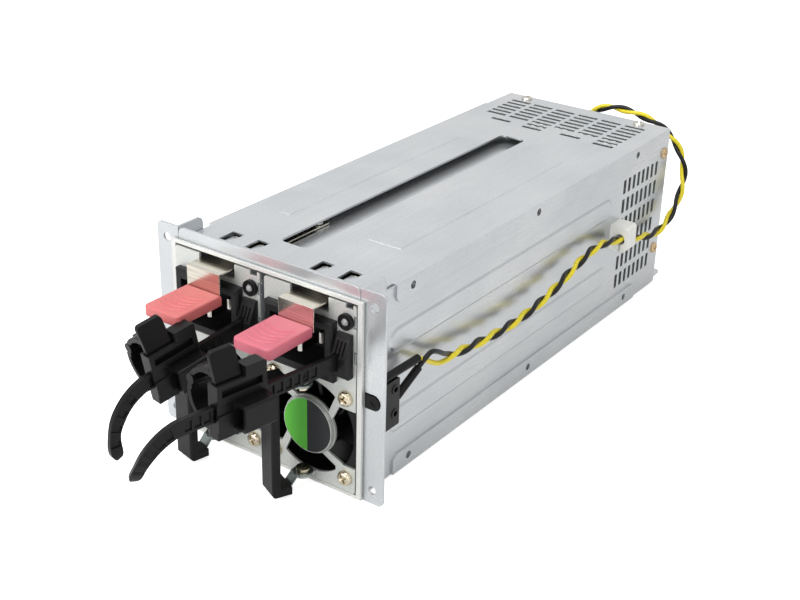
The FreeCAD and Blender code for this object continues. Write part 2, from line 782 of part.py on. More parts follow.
def cage_rear():
    """The rear panel: a shallow pan with four flanges, vent slots and the cable outlet."""
    name = "cage_rear_panel"
    front = "cage_length - rear_flange"
    outer = box(name + "_outer", (f"-{INNER}", INNER), (front, "cage_length"), (FLOOR, CEILING))
    inner = box(name + "_inner", (f"-({INNER} - side_sheet)", f"{INNER} - side_sheet"),
                (f"{front} - 1", "cage_length - side_sheet"),
                (f"{FLOOR} + side_sheet", f"{CEILING} - side_sheet"))
    tools = [inner]
    through = ("cage_length - side_sheet - 1", "cage_length + 1")
    tools.append(box(name + "_outlet", ("-outlet_width / 2", "outlet_width / 2"), through,
                     ("outlet_centre_z - outlet_height / 2", "outlet_centre_z + outlet_height / 2")))
    for column in range(REAR_VENT_COLUMNS):
        left = f"({column} - {(REAR_VENT_COLUMNS - 1) / 2}) * vent_pitch - vent_width / 2"
        for row, high in enumerate(("side_vent_high + 2", "side_vent_high - 4 * side_vent_rise")):
            tools.append(box(f"{name}_vent_{column}_{row}", (left, f"{left} + vent_width"), through,
                             (f"{high} - side_vent_length", high)))
    for side in (-1, 1):
        tools.append(rod(f"{name}_top_screw_{side + 1}", "screw_shank + screw_clear", "z",
                         (f"{side} * top_screw_place + top_screw_shift", SCREW_Y), (f"{CEILING} - 2", f"{CEILING} + 1")))
        for level in ("high", "low"):
            tools.append(rod(f"{name}_side_screw_{side + 1}_{level}", "screw_shank + screw_clear", "x",
                             (SCREW_Y, f"side_screw_{level}"), beside(side, f"{INNER} - 2", f"{INNER} + 1")))
    return finish(name, minus(name, outer, *tools))


def front_ring():
    """The bright folded frame round the two bays, with a bevel behind its outer edge."""
    name = "front_frame_ring"
    half = f"({INNER} + ring_side)"
    outer = box(name + "_outer", (f"-{half}", half), ("-ring_proud", "0"),
                (f"{FLOOR} - ring_rim", f"{CEILING} + ring_rim"))
    outer = eased(name + "_bevel", outer, size("ring_bevel"),
                  lambda at, axis: at.y > -0.1 and axis != "y", "Part::Chamfer")
    inner = box(name + "_inner", (f"-{INNER}", INNER), ("-ring_proud - 1", "1"), (FLOOR, CEILING))
    return finish(name, minus(name, outer, inner))


def bay_divider():
    name = "bay_divider"
    return finish(name, box(name, ("-divider_thick / 2", "divider_thick / 2"),
                            ("divider_front", "module_rear"), (FLOOR, CEILING)))


def screw(name, axis, centre, seat, sign):
    """A pan head screw: head outside its seat, shank through the two sheets."""
    span = (f"{seat}", f"{seat} + screw_head_height") if sign > 0 else (f"{seat} - screw_head_height", f"{seat}")
    head = rod(name + "_head", "screw_head", axis, centre, span)
    inside = (f"{seat} - screw_length", f"{seat} + 0.2") if sign > 0 else (f"{seat} - 0.2", f"{seat} + screw_length")
    return union(name, head, rod(name + "_shank", "screw_shank", axis, centre, inside))


def cage_screws():
    screws = []
    for side in (-1, 1):
        screws.append(screw(f"top_screw_{side + 1}", "z", (f"{side} * top_screw_place + top_screw_shift", SCREW_Y), "box_high", 1))
        for level in ("high", "low"):
            seat = WALL if side > 0 else f"-{WALL}"
            screws.append(screw(f"side_screw_{side + 1}_{level}", "x",
                                (SCREW_Y, f"side_screw_{level}"), seat, side))
    return finish("cage_screws", group("cage_screws", *screws))


def outlet_bushing():
    """The black nylon frame that lines the cable outlet."""
    name = "outlet_bushing"
    low = "(outlet_centre_z - outlet_height / 2)"
    high = "(outlet_centre_z + outlet_height / 2)"
    sleeve = box(name + "_sleeve", ("-outlet_width / 2", "outlet_width / 2"),
                 ("cage_length - side_sheet - bushing_proud", "cage_length"), (low, high))
    rim = box(name + "_rim", ("-outlet_width / 2 - bushing_rim", "outlet_width / 2 + bushing_rim"),
              ("cage_length", "cage_length + bushing_proud"), (f"{low} - bushing_rim", f"{high} + bushing_rim"))
    rim = eased(name + "_rim_round", rim, size("bushing_rim"), lambda at, axis: axis == "y")
    bore = box(name + "_bore", ("-outlet_width / 2 + bushing_wall", "outlet_width / 2 - bushing_wall"),
               ("cage_length - 5", "cage_length + 5"), (f"{low} + bushing_wall", f"{high} - bushing_wall"))
    bore = eased(name + "_bore_round", bore, size("bushing_wall"), lambda at, axis: axis == "y")
    return finish(name, minus(name, union(name + "_solid", sleeve, rim), bore))


def backplane():
    name = "backplane_board"
    finish(name, box(name, (f"-({INNER} - running_gap)", f"{INNER} - running_gap"),
                     ("backplane_y", "backplane_y + backplane_thick"),
                     (f"{FLOOR} + running_gap", f"{CEILING} - running_gap")))
    sockets = []
    for module, facts in MODULES.items():
        middle = f"({facts['side']} * {BAY} + board_offset)"
        block = box(f"socket_{module}_block", (f"{middle} - socket_width / 2", f"{middle} + socket_width / 2"),
                    ("backplane_y - socket_depth", "backplane_y"), ("finger_low - 3", "finger_high + 3"))
        half = "(board_thick / 2 + running_gap)"
        slot = box(f"socket_{module}_slot", (f"{middle} - {half}", f"{middle} + {half}"),
                   ("backplane_y - socket_depth - 1", "finger_end + running_gap"),
                   ("finger_low - running_gap", "finger_high + running_gap"))
        sockets.append(minus(f"socket_{module}", block, slot))
    return finish("backplane_sockets", group("backplane_sockets", *sockets))


def alarm_parts():
    """The reset button, the micro switch behind the flange and the sleeves on its wires."""
    cap = button_shape("button_cap", "0", ("-button_proud", "side_sheet + 0.4"))
    stem = rod("button_stem", "1.2", "y", (f"{BUTTON_LEFT} + button_width / 2", "button_centre_z"),
               ("0", "button_back"))
    dimple = rod("button_dimple", "1.1", "y", (f"{BUTTON_LEFT} + button_width / 2 + 0.6", "button_centre_z"),
                 ("-button_proud - 1", "-button_proud + 0.4"))
    finish("alarm_button", minus("alarm_button", union("button_solid", cap, stem), dimple))
    block = box("switch_block", (WALL, f"{WALL} + switch_width"),
                ("switch_front", "switch_front + switch_depth"), ("switch_low", "switch_low + switch_length"))
    block = eased("switch_round", block, 0.5, lambda at, axis: axis == "x")
    face = f"{WALL} + switch_width"
    holes = []
    bosses = []
    for row in range(2):
        centre = ("switch_front + switch_depth - 2.6", f"switch_low + switch_hole_low + {row} * switch_hole_pitch")
        bosses.append(rod(f"switch_boss_{row}", "switch_boss", "x", centre, (f"{face} - 1", f"{face} + switch_boss_proud")))
        holes.append(rod(f"switch_hole_{row}", "switch_hole", "x", centre, (f"{WALL} + 1", f"{face} + 1")))
    finish("alarm_switch", minus("alarm_switch", union("switch_solid", block, *bosses), *holes))
    sleeves = []
    for number, (start, end) in enumerate(SLEEVES):
        piece = doc.addObject("Part::Cylinder", f"sleeve_{number}")
        way = Vector(*end) - Vector(*start)
        piece.Placement = Placement(Vector(*start), Rotation(Vector(0, 0, 1), way))
        bind(piece, "Radius", "sleeve_radius")
        piece.Height = way.Length
        sleeves.append(piece)
    finish("switch_sleeves", group("switch_sleeves", *sleeves))


def cord_path(points):
    """Straight runs joined by tangent arcs, each as large as its two runs allow."""
    points = [Vector(*point) for point in points]
    edges = []
    radii = []
    start = points[0]
    for before, corner, after in zip(points, points[1:], points[2:]):
        way_in = (corner - before).normalize()
        way_out = (after - corner).normalize()
        turn = math.acos(max(-1.0, min(1.0, way_in.dot(way_out))))
        reach = 0.45 * min((corner - before).Length, (after - corner).Length)
        radii.append(reach / math.tan(turn / 2))
        first = corner - way_in * reach
        last = corner + way_out * reach
        bulge = (way_out - way_in).normalize()
        middle = corner + bulge * (reach * (1 / math.sin(turn / 2) - 1 / math.tan(turn / 2)))
        edges.append(Part.LineSegment(start, first).toShape())
        edges.append(Part.Arc(first, middle, last).toShape())
        start = last
    edges.append(Part.LineSegment(start, points[-1]).toShape())
    return Part.Wire(edges), radii


def alarm_cord():
    path, radii = cord_path(CORD_ROUTE)
    radius = size("cord_radius")
    start = Vector(*CORD_ROUTE[0])
    way = Vector(*CORD_ROUTE[1]) - start
    ring = Part.Wire([Part.makeCircle(radius, start, way)])
    tube = path.makePipeShell([ring], True, False)
    item = doc.addObject("Part::Feature", "alarm_cord")
    item.Shape = tube
    print("cord length", round(path.Length, 1), "volume", round(tube.Volume, 1),
          "section times length", round(math.pi * radius ** 2 * path.Length, 1))
    print("cord radii", [round(bend, 1) for bend in radii])
    return finish("alarm_cord", item)


def cable_clip():
    """The white nylon clip: a block with a sloping bore for the pair and a slit under it."""
    owner = body("clip_block")
    outer = f"({WALL} + clip_depth)"
    slit = ((f"{CLIP_BORE} - clip_slit / 2"), (f"{CLIP_BORE} + clip_slit / 2"))
    outline = [
        (WALL, "clip_low"), (slit[0], "clip_low"), (slit[0], "clip_bore_z"), (slit[1], "clip_bore_z"),
        (slit[1], "clip_low"), (f"{outer} - clip_slit", "clip_low"), (outer, "clip_low + clip_slit"),
        (outer, "clip_high - clip_slit"), (f"{outer} - clip_slit", "clip_high"), (WALL, "clip_high"),
    ]
    pad(owner, sketch(owner, "XZ_Plane", "clip_profile", [outline]), "clip_length", reverse=True)
    block = group("clip_placed", owner)
    block.Placement = Placement(Vector(0, size("clip_front"), 0), Rotation())
    bore = rod("clip_bore", "cord_radius + clip_clear", "y", ("0", "0"), ("-2 * clip_length", "2 * clip_length"))
    sloped = group("clip_bore_sloped", bore)
    middle = Vector(0, size("clip_front") + size("clip_length") / 2, size("clip_bore_z"))
    sloped.Placement = Placement(middle, Rotation(Vector(1, 0, 0), size("clip_bore_slope")))
    bind(sloped, "Placement.Base.x", CLIP_BORE)
    return finish("cable_clip", minus("cable_clip_bored", block, sloped))


def front_panel(module):
    """The module's face: stamped fan grille, inlet and light holes, latch notch and two handle tabs."""
    name = f"{module}_front_panel"
    across = (f"-{HALF}", HALF)
    plane = ("module_front", PANEL_BACK)
    through = ("module_front - 1", f"{PANEL_BACK} + 1")
    face = box(name + "_face", across, plane, (MODULE_LOW, MODULE_HIGH))
    face = eased(name + "_face_round", face, 1.0, lambda at, axis: axis == "y")
    tools = [
        grille_opening(name + "_mouth", through),
        box(name + "_inlet_hole",
            ("inlet_offset - inlet_body_width / 2 - ring_gap", "inlet_offset + inlet_body_width / 2 + ring_gap"),
            through, (f"{INLET_Z} - inlet_body_height / 2 - ring_gap",
                      f"{INLET_Z} + inlet_body_height / 2 + ring_gap")),
        box(name + "_notch", ("-latch_width / 2 - 0.7", "latch_width / 2 + 0.7"), through,
            (f"{CASE_HIGH} - channel_depth + case_sheet", f"{MODULE_HIGH} + 1")),
        box(name + "_corner_notch", ("corner_notch_start", "corner_notch_end"), through,
            ("corner_notch_low", f"{MODULE_HIGH} + 1")),
        rod(name + "_light_hole", "light_barrel + 0.1", "y", ("light_offset", "light_z"), through),
    ]
    for level in ("upper", "lower"):
        tools.append(box(f"{name}_{level}_notch", (f"{HALF} - edge_notch", f"{HALF} + 1"), through,
                         (f"{level}_notch_low", f"{level}_notch_high")))
    for across_sign in (-1, 1):
        for up_sign in (-1, 1):
            tools.append(rod(f"{name}_screw_hole_{across_sign + 1}_{up_sign + 1}",
                             "fan_screw_radius + fan_screw_clear", "y",
                             (f"{across_sign} * fan_hole_pitch / 2", f"{FAN_Z} + {up_sign} * fan_hole_pitch / 2"),
                             through))
    sheet_part = minus(name + "_sheet", face, *tools)
    disc = rod(name + "_disc", "grille_disc", "y", ("0", FAN_Z), plane)
    groove = rod(name + "_groove", "label_radius + label_groove", "y", ("0", FAN_Z),
                 ("module_front - 1", "module_front + panel_sheet / 2"))
    label = rod(name + "_label_seat", "label_radius", "y", ("0", FAN_Z), ("module_front - label_proud", PANEL_BACK))
    arms = [grille_arm(f"{name}_arm_{number}", 90 * number) for number in range(4)]
    pieces = [minus(name + "_grille", union(name + "_wheel", disc, *arms), groove), label, sheet_part]
    pieces.append(handle_tab(name + "_low_tab", f"lug_low - {PIVOT_PLAY} - tab_plate", f"lug_low - {PIVOT_PLAY}"))
    pieces.append(handle_tab(name + "_high_tab", f"lug_high + {PIVOT_PLAY}", f"lug_high + {PIVOT_PLAY} + tab_plate"))
    return finish(name, union(name, *pieces), module)


def grille_opening(name, through):
    """The mouth of the fan: its circle between the screw pads, and a band out to both sides."""
    circle = rod(name + "_circle", "grille_radius", "y", ("0", FAN_Z), through)
    between = box(name + "_between", ("-grille_reach", "grille_reach"), through,
                  (f"{FAN_Z} - fan_width / 2", f"{FAN_Z} + fan_width / 2"))
    band = box(name + "_band", (f"-{HALF} - 1", f"{HALF} + 1"), through,
               (f"{FAN_Z} - grille_reach", f"{FAN_Z} + grille_reach"))
    return union(name, common(name + "_round", circle, between), band)


def grille_arm(name, angle):
    """One arm of the pinwheel: a strip that widens from the middle disc to a screw pad."""
    owner = body(name)
    length = "sqrt((arm_outer_x - arm_inner_x)^2 + (arm_outer_z - arm_inner_z)^2)"
    across = f"((arm_outer_z - arm_inner_z) / {length} / 2)"
    along = f"((arm_outer_x - arm_inner_x) / {length} / 2)"
    outline = [
        (f"arm_inner_x + {across} * grille_arm", f"arm_inner_z - {along} * grille_arm"),
        (f"arm_outer_x + {across} * grille_arm_root", f"arm_outer_z - {along} * grille_arm_root"),
        (f"arm_outer_x - {across} * grille_arm_root", f"arm_outer_z + {along} * grille_arm_root"),
        (f"arm_inner_x - {across} * grille_arm", f"arm_inner_z + {along} * grille_arm"),
    ]
    pad(owner, sketch(owner, "XZ_Plane", name + "_outline", [outline]), "panel_sheet", reverse=True)
    turned = group(name + "_turned", owner)
    turned.Placement = Placement(Vector(0, size("module_front"), fan_height()), Rotation(Vector(0, 1, 0), angle))
    return turned


def fan_height():
    """Height of the fan's axis above the origin."""
    low = size("box_low") + size("cover_sheet") + size("module_floor_gap")
    return low + size("fan_floor") + size("fan_width") / 2


def handle_tab(name, low, high):
    """A tab bent forward from the panel that carries one pivot of the handle."""
    plate = box(name + "_plate", ("-tab_plate_width / 2", "tab_plate_width / 2"),
                ("module_front - tab_plate_reach", PANEL_BACK), (low, high))
    plate = eased(name + "_round", plate, size("tab_plate_width") / 2 - 0.05,
                  lambda at, axis: axis == "z" and at.y < size("module_front") - 1)
    hole = rod(name + "_hole", "pivot_shank + lug_hole_clear", "z", ("0", "pivot_y"), (f"{low} - 1", f"{high} + 1"))
    return minus(name, plate, hole)


def module_case(module):
    """The case: left wall, floor, top with the latch channel, and the slotted rear wall."""
    name = f"{module}_case"
    outer = box(name + "_outer", (f"-{HALF}", HALF), (PANEL_BACK, "module_rear"), (MODULE_LOW, CASE_HIGH))
    inner = box(name + "_inner", (f"-{HALF} + case_sheet", f"{HALF} + 1"),
                (f"{PANEL_BACK} - 1", "module_rear - case_sheet"),
                (f"{MODULE_LOW} + case_sheet", f"{CASE_HIGH} - case_sheet"))
    shell = minus(name + "_shell", outer, inner)
    floor = f"({CASE_HIGH} - channel_depth)"
    pan = box(name + "_pan", ("-channel_width / 2 - case_sheet", "channel_width / 2 + case_sheet"),
              (PANEL_BACK, "latch_root + case_sheet"), (floor, CASE_HIGH))
    trough = box(name + "_trough", ("-channel_width / 2", "channel_width / 2"),
                 (f"{PANEL_BACK} - 1", "latch_root"), (f"{floor} + case_sheet", f"{CASE_HIGH} + 1"))
    tools = [trough, fan_window(name + "_window", (f"-{HALF} - 1", "0"))]
    tools.append(box(name + "_finger_slot", ("board_offset - 2", "board_offset + 2"),
                     ("module_rear - 2", "module_rear + 1"), ("finger_low - 1", "finger_high + 1")))
    for column in range(5):
        left = f"-6 + {column} * vent_pitch"
        tools.append(box(f"{name}_vent_{column}", (left, f"{left} + vent_width"),
                         ("module_rear - 2", "module_rear + 1"), ("finger_low", "finger_high + 16")))
    pieces = [minus(name + "_sheet", union(name + "_walls", shell, pan), *tools)]
    under = f"({CASE_HIGH} + latch_rise + latch_sheet + rivet_gap)"
    for sign in (-1, 1):
        centre = (f"{sign} * rivet_place", "rivet_y")
        pieces.append(rod(f"{name}_rivet_{sign + 1}", "rivet_stem", "z", centre, (f"{CASE_HIGH} - 0.2", under)))
        pieces.append(rod(f"{name}_rivet_head_{sign + 1}", "rivet_head", "z", centre, (under, f"{under} + 0.6")))
    return finish(name, union(name, *pieces), module)


def fan_window(name, across):
    """The cut-out beside the fan, which is as wide as the module."""
    half = "(fan_width / 2 + running_gap)"
    return box(name, across, (f"{PANEL_BACK} - 1", f"{PANEL_BACK} + fan_depth + running_gap"),
               (f"{FAN_Z} - {half}", f"{FAN_Z} + {half}"))


def module_cover(module):
    name = f"{module}_case_cover"
    wall = box(name + "_wall", (f"{HALF} - case_sheet", HALF), (PANEL_BACK, "module_rear - case_sheet"),
               (f"{MODULE_LOW} + case_sheet", f"{CASE_HIGH} - case_sheet"))
    sheet_part = minus(name + "_sheet", wall, fan_window(name + "_window", ("0", f"{HALF} + 1")))
    tabs = [
        box(f"{name}_{level}_tab", (f"{HALF} - case_sheet + 0.3", HALF), ("module_front", f"{PANEL_BACK} + 1"),
            (f"{level}_notch_low + notch_tab_gap", f"{level}_notch_high - notch_tab_gap"))
        for level in ("upper", "lower")
    ]
    return finish(name, union(name, sheet_part, *tabs), module)


def fan_frame(module):
    """The square fan frame: round duct, corner holes, rear struts, motor plate and shaft."""
    name = f"{module}_fan_frame"
    half = "fan_width / 2"
    rear = f"({PANEL_BACK} + fan_depth)"
    frame = box(name + "_block", (f"-{half}", half), (PANEL_BACK, rear), (f"{FAN_Z} - {half}", f"{FAN_Z} + {half}"))
    frame = eased(name + "_round", frame, 2.0, lambda at, axis: axis == "y")
    tools = [rod(name + "_duct", FAN_BORE, "y", ("0", FAN_Z), (f"{PANEL_BACK} - 1", f"{rear} + 1"))]
    for across_sign in (-1, 1):
        for up_sign in (-1, 1):
            tools.append(rod(f"{name}_hole_{across_sign + 1}_{up_sign + 1}",
                             "fan_screw_radius + fan_screw_clear", "y",
                             (f"{across_sign} * fan_hole_pitch / 2", f"{FAN_Z} + {up_sign} * fan_hole_pitch / 2"),
                             (f"{PANEL_BACK} - 1", f"{rear} + 1")))
    duct = minus(name + "_duct_cut", frame, *tools)
    struts = []
    for number in range(2):
        bar = box(f"{name}_strut_{number}", (f"-{FAN_BORE} - 0.5", f"{FAN_BORE} + 0.5"),
                  ("-motor_plate", "0"), ("-strut_width / 2", "strut_width / 2"))
        turned = group(f"{name}_strut_{number}_turned", bar)
        turned.Placement = Placement(Vector(0, size("module_front") + size("panel_sheet") + size("fan_depth"),
                                            fan_height()), Rotation(Vector(0, 1, 0), 45 + 90 * number))
        struts.append(turned)
    plate = rod(name + "_motor_plate", "motor_radius", "y", ("0", FAN_Z), (f"{rear} - motor_plate", rear))
    shaft = rod(name + "_shaft", "shaft_radius", "y", ("0", FAN_Z), (f"{PANEL_BACK} + hub_front + 2", rear))
    return finish(name, union(name, duct, *struts, plate, shaft), module)


def fan_rotor(module):
    """The impeller: a cup-shaped hub on the shaft with seven pitched blades."""
    name = f"{module}_fan_rotor"
    front = "hub_front"
    hub = rod(name + "_hub", "hub_radius", "y", ("0", "0"), (front, "hub_rear"))
    blades = []
    for number in range(BLADES):
        plate = box(f"{name}_plate_{number}", ("hub_radius - 1", FAN_BORE),
                    ("-blade_chord / 2", "blade_chord / 2"), ("-blade_thick / 2", "blade_thick / 2"))
        pitched = group(f"{name}_pitched_{number}", plate)
        pitched.Placement = Placement(Vector(), Rotation(Vector(1, 0, 0), size("blade_pitch_angle")))
        placed = group(f"{name}_blade_{number}", pitched)
        placed.Placement = Placement(Vector(0, (size("hub_front") + size("hub_rear")) / 2, 0),
                                     Rotation(Vector(0, 1, 0), 360.0 * number / BLADES))
        blades.append(placed)
    sweep = rod(name + "_sweep", f"{FAN_BORE} - blade_tip_gap", "y", ("0", "0"), (front, "hub_rear"))
    fanned = common(name + "_fanned", group(name + "_blades", *blades), sweep)
    bore = rod(name + "_bore", "shaft_radius + shaft_clear", "y", ("0", "0"), ("hub_front + 1.8", "hub_rear + 1"))
    rotor = minus(name, union(name + "_wheel", hub, fanned), bore)
    centre = Vector(0, size("module_front") + size("panel_sheet"), fan_height())
    return finish(name, rotor, module, Placement(centre, Rotation()))


def fan_screws(module):
    name = f"{module}_fan_screws"
    screws = []
    for across_sign in (-1, 1):
        for up_sign in (-1, 1):
            label = f"{name}_{across_sign + 1}_{up_sign + 1}"
            centre = (f"{across_sign} * fan_hole_pitch / 2", f"{FAN_Z} + {up_sign} * fan_hole_pitch / 2")
            head = rod(label + "_head", "fan_screw_head", "y", centre,
                       ("module_front - fan_screw_head_height", "module_front"))
            shank = rod(label + "_shank", "fan_screw_radius", "y", centre,
                        ("module_front - 0.2", "module_front + fan_screw_length"))
            screws.append(union(label, head, shank))
    return finish(name, group(name, *screws), module)


def ac_inlet(module):
    """The appliance inlet: bezel, body and the six-sided mouth with its two cut corners."""
    name = f"{module}_ac_inlet"
    owner = body(name)

    def frame(width, height):
        return [(f"inlet_offset {a} {width} / 2", f"{INLET_Z} {b} {height} / 2")
                for a, b in (("-", "-"), ("+", "-"), ("+", "+"), ("-", "+"))]

    bezel = sketch(owner, "XZ_Plane", name + "_bezel", [frame("inlet_width", "inlet_height")])
    pad(owner, bezel, "inlet_proud", reverse=False)
    back = sketch(owner, "XZ_Plane", name + "_back", [frame("inlet_body_width", "inlet_body_height")])
    pad(owner, back, "inlet_body_depth", reverse=True)
    doc.recompute()
    rims = [f"Edge{number}" for number, edge in enumerate(owner.Shape.Edges, start=1)
            if edge.CenterOfMass.y < 0.01 - size("inlet_proud")]
    solid = owner.Tip
    fillet = owner.newObject("PartDesign::Fillet", name + "_round")
    fillet.Base = (solid, rims)
    bind(fillet, "Radius", "inlet_round")
    left = "(inlet_offset - inlet_mouth_width / 2)"
    right = "(inlet_offset + inlet_mouth_width / 2)"
    low = f"({INLET_Z} - inlet_mouth_height / 2)"
    high = f"({INLET_Z} + inlet_mouth_height / 2)"
    mouth = [
        (f"{left} + inlet_mouth_chamfer", low), (f"{right} - inlet_mouth_chamfer", low),
        (right, f"{low} + inlet_mouth_chamfer"), (right, high), (left, high),
        (left, f"{low} + inlet_mouth_chamfer"),
    ]
    hollow = sketch(owner, "XZ_Plane", name + "_mouth", [mouth])
    bind(hollow, "AttachmentOffset.Base.z", "inlet_proud")
    pocket(owner, hollow, "inlet_mouth_depth", reverse=False)
    holes = []
    for across, up, _ in PINS.values():
        middle = f"inlet_offset + {across}"
        height = f"{INLET_Z} + {up}"
        holes.append([(f"{middle} {a} pin_width / 2 {a} pin_gap", f"{height} {b} pin_height / 2 {b} pin_gap")
                      for a, b in (("-", "-"), ("+", "-"), ("+", "+"), ("-", "+"))])
    through = sketch(owner, "XZ_Plane", name + "_pin_holes", holes)
    pocket(owner, through, "4 * inlet_body_depth", middle=True)
    return finish(name, owner, module, Placement(Vector(0, size("module_front"), 0), Rotation()))


def inlet_pins(module):
    name = f"{module}_inlet_pins"
    pins = []
    for label, (across, up, front) in PINS.items():
        middle = f"(inlet_offset + {across})"
        height = f"({INLET_Z} + {up})"
        pin = box(f"{name}_{label}", (f"{middle} - pin_width / 2", f"{middle} + pin_width / 2"),
                  (front, "pin_rear"), (f"{height} - pin_height / 2", f"{height} + pin_height / 2"))
        pins.append(eased(pin.Name + "_nose", pin, 0.6,
                          lambda at, axis: axis == "z" and at.y < 0, "Part::Chamfer"))
    return finish(name, group(name, *pins), module)


def status_light(module):
    """The black ring that snaps into the panel, and the lens inside it."""
    name = f"{module}_light_ring"
    centre = ("light_offset", "light_z")
    flange = rod(name + "_flange", "light_ring", "y", centre, ("module_front - light_proud", "module_front"))
    barrel = rod(name + "_barrel", "light_barrel", "y", centre, ("module_front - 0.1", "module_front + 5"))
    bore = rod(name + "_bore", "light_lens + 0.1", "y", centre, ("module_front - 3", "module_front + 3"))
    face = "module_front - light_proud"
    groove = minus(name + "_groove",
                   rod(name + "_groove_outer", "light_barrel + 0.05", "y", centre, (f"{face} - 1", f"{face} + light_groove")),
                   rod(name + "_groove_inner", "light_lens + 0.5", "y", centre, (f"{face} - 2", f"{face} + 1")))
    finish(name, minus(name, union(name + "_solid", flange, barrel), bore, groove), module)
    lens_name = f"{module}_light_lens"
    stem = rod(lens_name + "_stem", "light_lens", "y", centre,
               ("module_front - light_proud + 0.6", "module_front + 2.9"))
    dome = doc.addObject("Part::Sphere", lens_name + "_dome")
    bind(dome, "Radius", "light_lens")
    bind(dome, "Placement.Base.x", "light_offset")
    bind(dome, "Placement.Base.y", "module_front - light_proud + 0.6")
    bind(dome, "Placement.Base.z", "light_z")
    finish(lens_name, union(lens_name, stem, dome), module)


def latch(module):
    """The spring strip over the case with its two barbs, and the moulded tab on its foot."""
    name = f"{module}_latch_spring"
    owner = body(name)
    low = f"({CASE_HIGH} + latch_rise)"
    high = f"({CASE_HIGH} + latch_rise + latch_sheet)"
    foot = "(tab_low + tab_thick / 2 - latch_sheet / 2)"
    bend = "latch_bend"
    strip = [
        ("latch_tail", low), ("latch_tail", high), (f"{bend} - latch_sheet", high),
        (f"{bend} - latch_sheet", foot), (bend, foot), (bend, low),
    ]
    pad(owner, sketch(owner, "YZ_Plane", name + "_strip", [strip]), "latch_width", middle=True)
    toe = [(bend, foot), (bend, f"{foot} + latch_sheet"), ("tab_front + 3", f"{foot} + latch_sheet"),
           ("tab_front + 3", foot)]
    pad(owner, sketch(owner, "YZ_Plane", name + "_foot", [toe]), "foot_width", middle=True)
    rivets = [("circle", f"{sign} * rivet_place", "rivet_y", "rivet_stem + rivet_gap") for sign in (-1, 1)]
    pocket(owner, sketch(owner, "XY_Plane", name + "_rivet_holes", rivets), "4 * flange_height", middle=True)
    for barb in ("left_barb", "right_barb"):
        wedge = [("barb_front", f"{high} - 0.2"), ("barb_rear", f"{high} - 0.2"), ("barb_rear", f"{high} + barb_height")]
        ramp = sketch(owner, "YZ_Plane", f"{name}_{barb}", [wedge])
        bind(ramp, "AttachmentOffset.Base.z", f"{barb} + barb_shift - barb_width / 2")
        pad(owner, ramp, "barb_width")
    finish(name, owner, module)
    tab_name = f"{module}_latch_tab"
    block = box(tab_name + "_block", ("-tab_width / 2", "tab_width / 2"), ("tab_front", "tab_rear"),
                ("tab_low", "tab_low + tab_thick"))
    block = eased(tab_name + "_corners", block, size("tab_corner"),
                  lambda at, axis: axis == "z" and at.y < size("tab_front") + 1)
    gap = "tab_slot_gap"
    slot = box(tab_name + "_slot", (f"-foot_width / 2 - {gap}", f"foot_width / 2 + {gap}"),
               (f"tab_front + 3 - {gap}", "tab_rear + 1"), (f"{foot} - {gap}", f"{foot} + latch_sheet + {gap}"))
    finish(tab_name, minus(tab_name, block, slot), module)


